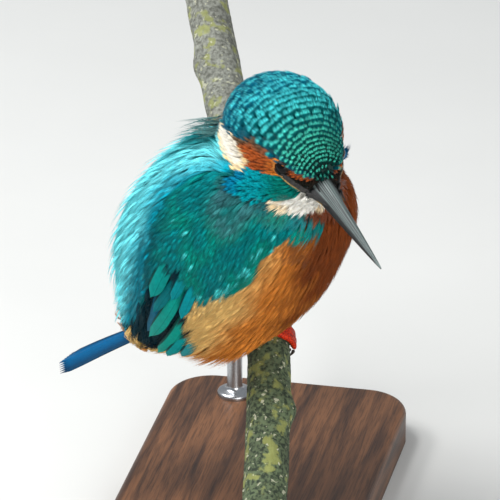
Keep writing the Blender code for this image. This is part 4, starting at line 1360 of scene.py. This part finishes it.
def bill_half(name, depth, up):
    """The upper half of the bill (up is 1) or the lower (up is -1), so many mm deep at the root."""
    bm = bmesh.new()
    bmesh.ops.create_cone(bm, cap_ends=True, segments=48, radius1=1.0, radius2=1.0, depth=1.0)
    long_edges = [edge for edge in bm.edges if abs(edge.verts[0].co.z - edge.verts[1].co.z) > 0.5]
    bmesh.ops.subdivide_edges(bm, edges=long_edges, cuts=63, use_grid_fill=True)
    place = bm.verts.layers.float_color.new("place")
    for vert in bm.verts:
        share = (vert.co.z + 0.5) ** 1.1
        forward = BILL_START + (BILL_TIP - BILL_ROOT - BILL_START) * share
        taper = float(bill_share(BILL_ROOT + forward))
        side, rise = vert.co.x, abs(vert.co.y)
        open_side = vert.co.y * up > 0
        half = BILL_WIDTH / 2 * taper * (1 - 0.25 * rise)
        half += GAPE_FLARE * max(0.0, FLARE_FROM - forward) * (1 - rise) ** 2 * (1.0 if up > 0 else 0.7)
        height = depth * taper * rise ** 1.25 if open_side else 0.0
        if open_side and up > 0:
            height -= 0.22 * taper * math.exp(-((abs(side) - 0.42) / 0.12) ** 2)
            height -= 0.12 * taper * math.exp(-((abs(side) - 0.75) / 0.08) ** 2)
        across = side * half
        if rise < 0.12 and not open_side:
            across -= 0.12 * taper * math.copysign(1, side)
        vert[place] = (share, side * 0.5 + 0.5, rise if open_side else 0.0, 1.0)
        vert.co = BILL_PLACE + BILL_TURN @ Vector((forward, across, up * (height + 0.05))) * MM
    face_outwards(bm)
    return new_piece(name, bm)


def horn_finish(name, base, light, dark, rough):
    """Horn: streaks that run with the growth, lit pale on top as painted highlight, a paler tip, a dark
    cutting edge.
    """
    made, tree, shader = principled(name)
    place = attribute(tree, "place", (-1300, 0), "Vector")
    stretch = node(tree, "ShaderNodeVectorMath", (-1100, 0), operation="MULTIPLY")
    stretch.inputs[1].default_value = (2.2, 46, 30)
    tree.links.new(place, stretch.inputs[0])
    streak = node(tree, "ShaderNodeTexNoise", (-900, 0), in_Scale=1.0, in_Detail=4.0)
    tree.links.new(stretch.outputs[0], streak.inputs["Vector"])
    parts = node(tree, "ShaderNodeSeparateXYZ", (-1100, -300))
    tree.links.new(place, parts.inputs[0])
    streaks = stops(tree, streak.outputs["Fac"], (-700, 0), (0.38, 0), (0.66, 1))
    # The pale streaks show on top only, where the edge mask leaves them: partly the horn's striation, mostly
    # a painted highlight along the ridge.
    toned = mixed(tree, "MIX", streaks, base, light, (-300, 200))
    # The sides below rise 0.4 take the dark of the cutting edge; the thin dark line near 0.68 lies in the
    # side groove and is painted shade.
    edge = stops(tree, parts.outputs[2], (-700, -300), (0.0, 1), (0.40, 1), (0.52, 0.15), (0.62, 0.1),
                 (0.68, 0.8), (0.74, 0.1), (1.0, 0))
    edged = mixed(tree, "MIX", edge, toned, dark, (-100, 200))
    tip = stops(tree, parts.outputs[0], (-700, -600), (0.90, 0), (1.0, 0.75))
    tree.links.new(mixed(tree, "MIX", tip, edged, light, (100, 200)), shader.inputs["Base Color"])
    shader.inputs["Roughness"].default_value = rough
    shader.inputs["Specular IOR Level"].default_value = 0.4
    shader.inputs["Coat Weight"].default_value = 0.05
    shader.inputs["Coat Roughness"].default_value = 0.3
    bumped(tree, shader, streak.outputs["Fac"], 0.00012, 0.6)
    return made


UPPER_HORN = horn_finish("upper_horn", colour(32, 38, 39), colour(118, 132, 130), colour(9, 10, 11), 0.48)
# The lower half is darker: its own black, with painted shade beneath the upper half.
LOWER_HORN = horn_finish("lower_horn", colour(14, 14, 15), colour(58, 56, 54), colour(6, 6, 7), 0.45)
for name, depth, up, horn in (("bill_upper_horn", UPPER_DEPTH, 1, UPPER_HORN),
                              ("bill_lower_horn", LOWER_DEPTH, -1, LOWER_HORN)):
    piece = bill_half(name, depth, up)
    piece.data.materials.append(horn)
    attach(piece, "root")
    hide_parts("bill_upper" if up > 0 else "bill_lower")
    print(name, "has", len(piece.data.polygons), "faces")

# %% [markdown]
# The nostrils are slits at the bill's base, made as flat lenses painted near-black for the shade inside
# them. The gape runs back from the bill to below the eye: a narrow band of dark bare skin, with a thin,
# pale olive edge where the two halves meet.


# %% Nostrils and gape
def swept(bm, points, radii, ups, flat, sides=12):
    """A closed tube through points, made of rings that are bridged; flat squeezes it along ups."""
    rings = []
    for number, (point, radius) in enumerate(zip(points, radii)):
        before, after = points[max(number - 1, 0)], points[min(number + 1, len(points) - 1)]
        way = (after - before).normalized()
        out = (ups[number] - way * ups[number].dot(way)).normalized()
        across = way.cross(out)
        ring = bmesh.ops.create_circle(bm, cap_ends=False, radius=1.0, segments=sides)["verts"]
        for vert in ring:
            vert.co = point + across * (vert.co.x * radius) + out * (vert.co.y * radius * flat)
        rings.append(ring)
    for near, far in zip(rings, rings[1:]):
        bridge(bm, near, far)
    for ring in (rings[0], rings[-1]):
        cap(bm, ring)


def clear_of_skin(point, lift):
    """The point, pushed out until it stands so many mm over the skin; and the skin's outward way."""
    place, out, _, _ = skin_tree.find_nearest(point)
    return point + out * min(1.0 * MM, max(0.0, lift * MM - (point - place).dot(out))), out


def on_bill(forward, across, height):
    return BILL_PLACE + BILL_TURN @ Vector((forward, across, height)) * MM


def two_tone(name, one, other, size_mm, rough, bump=0.00008):
    """A finish that wanders between two colours, with a fine grain."""
    made, tree, shader = principled(name)
    blot = stops(tree, object_noise(tree, size_mm, (-600, 0)), (-400, 0), (0.35, 0), (0.65, 1))
    tree.links.new(mixed(tree, "MIX", blot, one, other, (-100, 200)), shader.inputs["Base Color"])
    shader.inputs["Roughness"].default_value = rough
    bumped(tree, shader, object_noise(tree, size_mm / 4, (-600, -400)), bump, 0.6)
    return made


GAPE_SKIN = two_tone("gape_skin", colour(14, 14, 15), colour(44, 42, 40), 1.2, 0.65)
GAPE_EDGE = two_tone("gape_edge", colour(120, 100, 52), colour(162, 132, 74), 1.0, 0.6)
for name, finish, raised, width, lift, thin in (("gape_skin", GAPE_SKIN, 1.0, 1.05, 0.5, 0.45),
                                                ("gape_edge", GAPE_EDGE, 0.0, 0.3, 0.8, 0.8)):
    bm = bmesh.new()
    for side in (1, -1):
        points, ups, radii = [], [], []
        for step, (forward, across, high) in enumerate(gape_points(25)):
            share = step / 24
            across -= 0.5 * share * (side > 0)  # the left one is drawn in beside the bill
            place = Vector((forward, side * (across - 0.2 * raised), high + raised * (1 - 0.6 * share)))
            point, out = clear_of_skin(HEAD + HEAD_TURN @ place * MM, lift)
            points.append(point)
            ups.append(out.lerp(HEAD_TURN @ Vector((0, side, 0)), float(ramp(share, 0.3, 0.7))))
            fuller, thinner = 0.2 + 0.8 * float(ramp(step, 0, 6)), 1 - 0.8 * float(ramp(step, 15, 24))
            radii.append(width * MM * fuller * thinner)
        swept(bm, points, radii, ups, thin)
    face_outwards(bm)
    piece = new_piece(name, bm, finish)
    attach(piece, "root")

# Each nostril is a flat lens painted near-black: painted shade for the inside of the slit.
bm = bmesh.new()
for side in (1, -1):
    turn = BILL_TURN.to_4x4() @ Matrix.Rotation(math.radians(side * 24), 4, "X")
    turn = turn @ Matrix.Rotation(math.radians(6), 4, "Y")
    place = Matrix.Translation(on_bill(9.2, side * 2.75, 2.25)) @ turn
    place = place @ Matrix.Diagonal((1.5, 0.3, 0.28, 1.0))
    bmesh.ops.create_uvsphere(bm, u_segments=20, v_segments=12, radius=MM, matrix=place)
nostrils = new_piece("nostrils", bm, two_tone("nostril_shade", colour(8, 8, 9), colour(24, 23, 22), 0.5, 0.7))
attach(nostrils, "root")

# %% [markdown]
# ## Eyes and lids
#
# A bird's eye is a ball set deep under the brow. Only its front shows: a dark brown iris that looks
# black, with a pupil, under a clear glossy cornea. The lids are a thin dark rim right round it,
# pointed at both corners and thicker above, with a row of tiny pale beads along the lower part.

# %% Eyeballs
EYE_SEEN = 3.05  # mm radius of the ball
EYE_IN = 0.05  # mm further in than the solid one


def eye_frame(side):
    """The ball's middle, and its outward, forward and upward ways."""
    place = HEAD + HEAD_TURN @ Vector((EYE_PLACE.x, EYE_PLACE.y * side - side * EYE_IN * MM, EYE_PLACE.z))
    outward = HEAD_TURN @ Vector((0.42, side * 0.90, 0.06)).normalized()
    upward_way = HEAD_TURN @ Vector((0.0, 0.0, 1.0))
    forward = upward_way.cross(outward).normalized() * side
    return place, outward, forward, outward.cross(forward).normalized() * side


eye_finish, tree, shader = principled("dark_eye")
spot = attribute(tree, "ring", (-700, 0))
iris = node(tree, "ShaderNodeValToRGB", (-450, 0))
for _ in range(2):
    iris.color_ramp.elements.new(0.5)
for element, (position, tone) in zip(iris.color_ramp.elements, (
        (0.0, (0.002, 0.002, 0.002)), (0.40, (0.003, 0.002, 0.002)), (0.50, (0.020, 0.010, 0.006)),
        (1.0, (0.008, 0.005, 0.004)))):
    element.position = position
    element.color = (*tone, 1)
tree.links.new(spot, iris.inputs[0])
tree.links.new(mixed(tree, "OVERLAY", 0.4, iris.outputs[0], object_noise(tree, 0.4, (-700, -300)), (-100, 0)),
               shader.inputs["Base Color"])
shader.inputs["Roughness"].default_value = 0.1
shader.inputs["Specular IOR Level"].default_value = 0.12
shader.inputs["Coat Weight"].default_value = 0.12
shader.inputs["Coat Roughness"].default_value = 0.03

for side, word in ((1, "left"), (-1, "right")):
    place, outward, _, _ = eye_frame(side)
    bm = bmesh.new()
    bmesh.ops.create_uvsphere(bm, u_segments=48, v_segments=32, radius=EYE_SEEN * MM)
    ring_layer = bm.verts.layers.float.new("ring")
    turn = outward.to_track_quat("Z", "Y").to_matrix()
    for vert in bm.verts:
        from_front = math.degrees(Vector((0, 0, 1)).angle(vert.co))
        vert[ring_layer] = min(from_front / 90, 1.0)
        cornea = 1 + 0.05 * math.exp(-(from_front / 24) ** 2)
        vert.co = place + turn @ (vert.co * cornea)
    ball = new_piece("eyeball_" + word, bm, eye_finish)
    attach(ball, "root")
    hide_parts("eye_" + word)

# %% Lids
LID_STEPS = 64
LID_SKIN = two_tone("lid_skin", colour(8, 8, 9), colour(26, 23, 21), 0.6, 0.7)
BEADS = two_tone("lid_beads", colour(206, 130, 66), colour(236, 178, 112), 0.8, 0.6)


def lid_point(side, turn_degrees, grow=0.0):
    """A point of the lids' rim: a pointed oval on the ball, so many degrees round from the front."""
    place, outward, forward, up = eye_frame(side)
    turned = math.radians(turn_degrees)
    wide = 60 + grow
    tall = (40 if math.sin(turned) > 0 else 42) + grow
    open_to = 1 / math.hypot(math.cos(turned) / wide, math.sin(turned) / tall)
    opened = math.radians(open_to)
    around = forward * math.cos(turned) + up * math.sin(turned)
    out = outward * math.cos(opened) + around * math.sin(opened)
    return place + out * ((EYE_SEEN + 0.08) * MM), out


def lid(side, name, finish):
    """A soft rim right round the eye, thicker above."""
    bm = bmesh.new()
    rings = []
    for step in range(LID_STEPS):
        point, out = lid_point(side, step * 360 / LID_STEPS)
        after, _ = lid_point(side, (step + 1) * 360 / LID_STEPS)
        way = (after - point).normalized()
        across = way.cross(out).normalized()
        wide = (0.26 + 0.06 * max(0.0, math.sin(math.radians(step * 360 / LID_STEPS)))) * MM
        ring = bmesh.ops.create_circle(bm, cap_ends=False, radius=1.0, segments=12)["verts"]
        for vert in ring:
            vert.co = point + across * (vert.co.x * wide) + out * (vert.co.y * 0.18 * MM)
        rings.append(ring)
    for near, far in zip(rings, rings[1:] + rings[:1]):
        bridge(bm, near, far)
    face_outwards(bm)
    piece = new_piece(name, bm, finish)
    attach(piece, "root")


for side, word in ((1, "left"), (-1, "right")):
    lid(side, "eyelids_" + word, LID_SKIN)
    bm = bmesh.new()
    for step in range(17):
        point, out = lid_point(side, 192 + step * 9.5, grow=15)
        size = (0.30 - 0.10 * abs(step - 8) / 8) * MM
        place = Matrix.Translation(point + out * 0.12 * MM)
        bmesh.ops.create_icosphere(bm, subdivisions=2, radius=size, matrix=place)
    beads = new_piece("lid_beads_" + word, bm, BEADS)
    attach(beads, "root")
print("eyes, lids and gape made")

# %% [markdown]
# ## Feet and claws
#
# A kingfisher's feet are small, weak and sealing-wax red, with scales like cobbles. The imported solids
# already have the right toes, but in flat facets. So a merged copy of each is subdivided smooth, and
# its finish adds the cobbles as cells of a Voronoi pattern. Claws are small, dark and glossy.

# %% Smooth copies of legs and claws
def smoothed_copy(name, sources, levels, finish):
    bm = bmesh.new()
    for source in sources:
        bm.from_mesh(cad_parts[source].data)
    bmesh.ops.remove_doubles(bm, verts=bm.verts, dist=0.002 * MM)
    piece = new_piece(name, bm, finish)
    smooth = piece.modifiers.new("smooth", "SUBSURF")
    smooth.levels = smooth.render_levels = levels
    applied(piece)
    piece.data.shade_smooth()
    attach(piece, "root")
    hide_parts(*sources)
    return piece


LEG_SKIN, tree, shader = principled("leg_skin")
coordinates = node(tree, "ShaderNodeTexCoord", (-900, 0))
cobbles = node(tree, "ShaderNodeTexVoronoi", (-700, 0), feature="F1", in_Scale=1900)
tree.links.new(coordinates.outputs["Object"], cobbles.inputs["Vector"])
between = stops(tree, cobbles.outputs["Distance"], (-450, 0), (0.25, 0), (0.8, 1))
cobbled = mixed(tree, "MIX", between, colour(206, 48, 8), colour(120, 20, 4), (-150, 200))
tree.links.new(cobbled, shader.inputs["Base Color"])
shader.inputs["Roughness"].default_value = 0.5
shader.inputs["Specular IOR Level"].default_value = 0.2
shader.inputs["Subsurface Weight"].default_value = 0.04
shader.inputs["Subsurface Radius"].default_value = (0.001, 0.0004, 0.0003)
bumped(tree, shader, cobbles.outputs["Distance"], -0.00012, 0.8)
CLAW_HORN = two_tone("claw_horn", colour(26, 22, 20), colour(70, 56, 48), 0.7, 0.3)
for word in ("left", "right"):
    smoothed_copy("foot_" + word, ["leg_" + word], 2, LEG_SKIN)
    claws = [f"claw_{word}_{number}" for number in (1, 2, 3, 4)]
    smoothed_copy("claws_" + word, claws, 2, CLAW_HORN)
print("feet and claws smoothed")

# %% [markdown]
# ## The branch
#
# The perch is a finger-thick branch. A plain cylinder is cut into many rings, bent along the centre
# line, and then given its relief: three knots, slow lumps, and fine lengthwise cracks. Its bark is
# dark grey-green below the bird and paler grey above it, flecked with lichen. Both ends are sawn.

# %% Bend and carve the branch
PERCH_FROM, PERCH_TO = -60, 138  # mm along it
PERCH_SIDES, PERCH_RINGS = 80, 300
KNOTS = ((-21, 10, 1.9, 4.0), (108, 176, 1.6, 4.5), (46, 80, 1.0, 6.0))  # along, turn, height, spread
KNOT_TURN = 34  # degrees round the branch that a knot spreads over
BARK_REACH = 6.45  # mm from the branch's middle to the bark, before its relief


def perch_frame(along):
    """The branch's middle there, and its sideways and upward ways."""
    way = (perch_point(along + 0.5 * MM) - perch_point(along - 0.5 * MM)).normalized()
    side = way.cross(Vector((0, 0, 1))).normalized()
    return perch_point(along), side, side.cross(way).normalized()


bm = bmesh.new()
bmesh.ops.create_cone(bm, cap_ends=True, cap_tris=False, segments=PERCH_SIDES, radius1=1.0, radius2=1.0,
                      depth=1.0)
long_edges = [edge for edge in bm.edges if abs(edge.verts[0].co.z - edge.verts[1].co.z) > 0.5]
bmesh.ops.subdivide_edges(bm, edges=long_edges, cuts=PERCH_RINGS - 1, use_grid_fill=True)
ends = [face for face in bm.faces if len(face.verts) > 4]
bmesh.ops.inset_region(bm, faces=ends, thickness=0.12, use_even_offset=True)
bmesh.ops.inset_region(bm, faces=ends, thickness=0.25, use_even_offset=True)
place = bm.verts.layers.float_color.new("place")
for vert in bm.verts:
    share, radial = vert.co.z + 0.5, math.hypot(vert.co.x, vert.co.y)
    turn = math.degrees(math.atan2(vert.co.y, vert.co.x))
    along = PERCH_FROM + (PERCH_TO - PERCH_FROM) * share
    centre, side, up = perch_frame(along * MM)
    out = (side * vert.co.x + up * vert.co.y) / max(radial, 1e-6)
    swell = 0.0
    for knot_along, knot_turn, height, spread in KNOTS:
        off = (turn - knot_turn + 180) % 360 - 180
        swell += height * math.exp(-((along - knot_along) / spread) ** 2 - (off / KNOT_TURN) ** 2)
    turned = math.radians(turn)
    at = Vector((math.cos(turned) * 2.2, math.sin(turned) * 2.2, along * 0.05))
    lumps = 0.28 * noise.noise(at * 1.1) + 0.20 * noise.noise(Vector((at.x * 3, at.y * 3, along * 0.10)))
    cracks = 0.16 * noise.noise(Vector((at.x * 7, at.y * 7, along * 0.22)))
    cracks += 0.10 * noise.noise(Vector((at.x * 13, at.y * 13, along * 0.9)))
    edge = 0.5 * float(ramp(min(share, 1 - share), 0.006, 0.0))
    reach = (BARK_REACH + swell + lumps + cracks - edge) * min(radial, 1.0)
    vert[place] = (share, turn / 360 + 0.5, min(radial, 1.0), 1.0)
    vert.co = centre + out * (reach * MM)
face_outwards(bm)

# %% Bark
bark, tree, shader = principled("bark")
place = attribute(tree, "place", (-1500, 400), "Vector")
parts = node(tree, "ShaderNodeSeparateXYZ", (-1300, 400))
tree.links.new(place, parts.inputs[0])
fine = object_noise(tree, 1.1, (-1100, -200), 6.0)
broad = object_noise(tree, 9, (-1100, 0), 4.0)
patch = object_noise(tree, 4.5, (-1100, -400), 5.0)
fleck = object_noise(tree, 1.8, (-1100, -600), 2.0)
low_grain = stops(tree, fine, (-800, 0), (0.35, 0), (0.62, 1))
low_bark = mixed(tree, "MIX", low_grain, colour(38, 50, 34), colour(92, 106, 76), (-500, 0))
high_grain = stops(tree, fine, (-800, 250), (0.3, 0), (0.7, 1))
high_bark = mixed(tree, "MIX", high_grain, colour(94, 95, 86), colour(150, 152, 142), (-500, 250))
height = stops(tree, parts.outputs[0], (-800, 500), (0.36, 0), (0.52, 1))
ground = mixed(tree, "MIX", height, low_bark, high_bark, (-300, 200))
patches = stops(tree, patch, (-800, -400), (0.52, 0), (0.62, 0.75))
lichen = mixed(tree, "MIX", patches, ground, colour(140, 144, 78), (-100, 200))
flecks = stops(tree, fleck, (-800, -600), (0.63, 0), (0.68, 0.8))
flecked = mixed(tree, "MIX", flecks, lichen, colour(184, 184, 158), (50, 200))
dimmed = stops(tree, broad, (-800, -200), (0.3, 0.35), (0.65, 1.0))
shaded = mixed(tree, "MULTIPLY", 0.5, flecked, dimmed, (200, 200))
sawn = stops(tree, parts.outputs[2], (-800, 800), (0.80, 1), (0.9, 0))
sawn_wood = mixed(tree, "MIX", sawn, shaded, colour(196, 168, 122), (350, 200))
tree.links.new(sawn_wood, shader.inputs["Base Color"])
shader.inputs["Roughness"].default_value = 0.88
bumped(tree, shader, fine, 0.0004, 0.7)
branch = new_piece("branch", bm, bark)
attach(branch, "root")
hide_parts("perch")
print("branch has", len(branch.data.polygons), "faces")

# %% [markdown]
# ## The stand
#
# The cut branch is held by a plain display stand, as in a museum case: a block of dark oiled wood
# with rounded corners, and two turned steel rods. The block is a bevelled cube. Each rod is a
# profile spun round its own axis, so flange and head come out in one piece.

# %% Wooden base
BASE_SIZE = Vector((76, 112, 12)) * MM
bm = bmesh.new()
place = Matrix.Translation((0, 0, BASE_SIZE.z / 2)) @ Matrix.Diagonal((*BASE_SIZE, 1.0))
bmesh.ops.create_cube(bm, size=1.0, matrix=place)
upright = [edge for edge in bm.edges if abs(edge.verts[0].co.z - edge.verts[1].co.z) > MM]
bmesh.ops.bevel(bm, geom=upright, offset=14 * MM, segments=14, profile=0.5, affect="EDGES", material=-1)
rims = [edge for edge in bm.edges if abs(edge.verts[0].co.z - edge.verts[1].co.z) < 1e-6]
top_rim = [edge for edge in rims if edge.verts[0].co.z > MM]
bmesh.ops.bevel(bm, geom=top_rim, offset=2.4 * MM, segments=6, profile=0.5, affect="EDGES", material=-1)
foot_rim = [edge for edge in bm.edges if max(vert.co.z for vert in edge.verts) < 1e-6]
bmesh.ops.bevel(bm, geom=foot_rim, offset=0.4 * MM, segments=2, profile=0.5, affect="EDGES", material=-1)
wood, tree, shader = principled("oiled_wood")
coordinates = node(tree, "ShaderNodeTexCoord", (-1300, 0))
stretch = node(tree, "ShaderNodeMapping", (-1100, 0))
stretch.inputs["Scale"].default_value = (260, 16, 260)
tree.links.new(coordinates.outputs["Object"], stretch.inputs["Vector"])
grain = node(tree, "ShaderNodeTexNoise", (-900, 0), in_Scale=1.0, in_Detail=6.0, in_Distortion=0.6)
tree.links.new(stretch.outputs[0], grain.inputs["Vector"])
pores = node(tree, "ShaderNodeMapping", (-1100, -400))
pores.inputs["Scale"].default_value = (2400, 110, 2400)
tree.links.new(coordinates.outputs["Object"], pores.inputs["Vector"])
pits = node(tree, "ShaderNodeTexNoise", (-900, -400), in_Scale=1.0, in_Detail=2.0)
tree.links.new(pores.outputs[0], pits.inputs["Vector"])
rings = stops(tree, grain.outputs["Fac"], (-700, 0), (0.32, 0), (0.66, 1))
bands = mixed(tree, "MIX", rings, colour(62, 38, 24), colour(124, 82, 52), (-400, 0))
dots = stops(tree, pits.outputs["Fac"], (-700, -400), (0.40, 0.35), (0.50, 1.0))
dotted = mixed(tree, "MULTIPLY", 0.6, bands, dots, (-200, 0))
tree.links.new(dotted, shader.inputs["Base Color"])
shader.inputs["Roughness"].default_value = 0.44
bumped(tree, shader, pits.outputs["Fac"], 0.0001, 0.5)
base = new_piece("wooden_base", bm, wood, smooth=False)
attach(base, "root")
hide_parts("stand_base")

# %% Steel rods
steel, tree, shader = principled("turned_steel")
turned = object_noise(tree, 0.6, (-500, 0), 2.0)
brushed = mixed(tree, "MIX", turned, colour(150, 152, 156), colour(196, 198, 200), (-200, 200))
tree.links.new(brushed, shader.inputs["Base Color"])
shader.inputs["Metallic"].default_value = 1.0
shader.inputs["Roughness"].default_value = 0.28
bumped(tree, shader, turned, 0.00002, 0.4)
ROD_LOW, ROD_FLANGE = 11.0, 12.05  # mm above the floor: its sunk foot, and where the flange stands
for word, along in (("front", -9), ("back", 76)):
    spot = perch_point(along * MM)
    low, flange, top = ROD_LOW, ROD_FLANGE, (spot.z - PERCH_RADIUS * 0.55) / MM
    profile = ((0, low), (2.4, low), (5.2, low), (5.5, low + 1.1), (5.5, flange + 1.0), (5.3, flange + 1.4),
               (4.6, flange + 1.75), (3.2, flange + 2.0), (2.6, flange + 2.6), (2.4, flange + 3.4),
               (2.4, top - 7.5), (2.6, top - 6.2), (3.4, top - 4.6), (4.1, top - 3.2), (4.2, top - 2.4),
               (4.2, top - 0.3), (4.0, top), (0, top))  # radius, height
    bm = bmesh.new()
    places = [(spot.x + radius * MM, spot.y, height * MM) for radius, height in profile]
    verts = [bmesh.ops.create_vert(bm, co=place)["vert"][0] for place in places]
    edges = [bmesh.ops.contextual_create(bm, geom=list(pair))["edges"][0] for pair in zip(verts, verts[1:])]
    bmesh.ops.spin(bm, geom=verts + edges, cent=(spot.x, spot.y, 0), axis=(0, 0, 1), angle=math.tau, steps=64,
                   use_merge=True)
    bmesh.ops.remove_doubles(bm, verts=bm.verts, dist=0.005 * MM)
    face_outwards(bm)
    rod = new_piece("steel_rod_" + word, bm, steel)
    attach(rod, "root")
    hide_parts("stand_rod_" + word)
print("stand made")

# %% [markdown]
# ## Floor, light and camera
#
# The studio is plain: a pale floor, a large soft light above and to the left, as from open sky, a
# second one in front and a little to the right, and a pale world. The camera has a long lens, because
# the bird is small and is looked at from well away, from above and from its right.

# %% Floor
bm = bmesh.new()
bmesh.ops.create_grid(bm, x_segments=4, y_segments=4, size=1.5)
floor_finish, tree, shader = principled("pale_floor")
mottled = object_noise(tree, 60, (-500, 0))
pale = mixed(tree, "MIX", mottled, (0.66, 0.66, 0.64), (0.70, 0.70, 0.68), (-200, 200))
tree.links.new(pale, shader.inputs["Base Color"])
shader.inputs["Roughness"].default_value = 0.9
floor = new_piece("floor", bm, floor_finish, smooth=False)

# %% Camera
CAMERA_TURN, CAMERA_RISE = 12, 25  # degrees round the bird, and above level
LENS, SENSOR = 400, 36  # mm
VIEW_WIDTH = 150 * MM  # of what is seen at the bird's distance
turn, rise = math.radians(CAMERA_TURN), math.radians(CAMERA_RISE)
to_camera = Vector((math.sin(turn) * math.cos(rise), -math.cos(turn) * math.cos(rise), math.sin(rise)))
to_right = Vector((math.cos(turn), math.sin(turn), 0))
upward = to_camera.cross(to_right)
AIM = FOOT - to_right * (6 * MM) + upward * (27 * MM)
camera_data = bpy.data.cameras.new("camera")
camera_data.lens = LENS
camera_data.sensor_width = SENSOR
camera_data.clip_start = 0.01
camera = bpy.data.objects.new("camera", camera_data)
bpy.context.scene.collection.objects.link(camera)
camera.location = AIM + to_camera * (VIEW_WIDTH * LENS / SENSOR)
camera.rotation_euler = to_camera.to_track_quat("Z", "Y").to_euler()
bpy.context.scene.camera = camera


# %% Lights
def soft_light(name, way, distance, size, power, tone):
    data = bpy.data.lights.new(name, "AREA")
    data.size = size
    data.energy = power
    data.color = tone
    light = bpy.data.objects.new(name, data)
    bpy.context.scene.collection.objects.link(light)
    way = way.normalized()
    light.location = BODY_CENTRE + way * distance
    light.rotation_euler = way.to_track_quat("Z", "Y").to_euler()


soft_light("sky_light", -to_right * 0.7 + upward * 1.0 + to_camera * 0.45, 0.8, 0.5, 9.0, (1.0, 1.0, 1.0))
soft_light("front_light", to_right * 0.35 - upward * 0.3 + to_camera * 1.0, 1.0, 0.7, 8.0, (1.0, 0.98, 0.95))
world = bpy.data.worlds.new("pale_room")
bpy.context.scene.world = world
world.use_nodes = True
world.node_tree.nodes["Background"].inputs[0].default_value = (0.9, 0.95, 1.0, 1)
world.node_tree.nodes["Background"].inputs[1].default_value = 0.45
bpy.context.scene.view_settings.view_transform = "Standard"

# %% [markdown]
# ## Feather count
#
# The triangles of all feather pieces are counted and printed.

# %% Count the feather triangles
print("feather triangles in all:", sum(len(piece.data.polygons) for piece in pieces.values()))
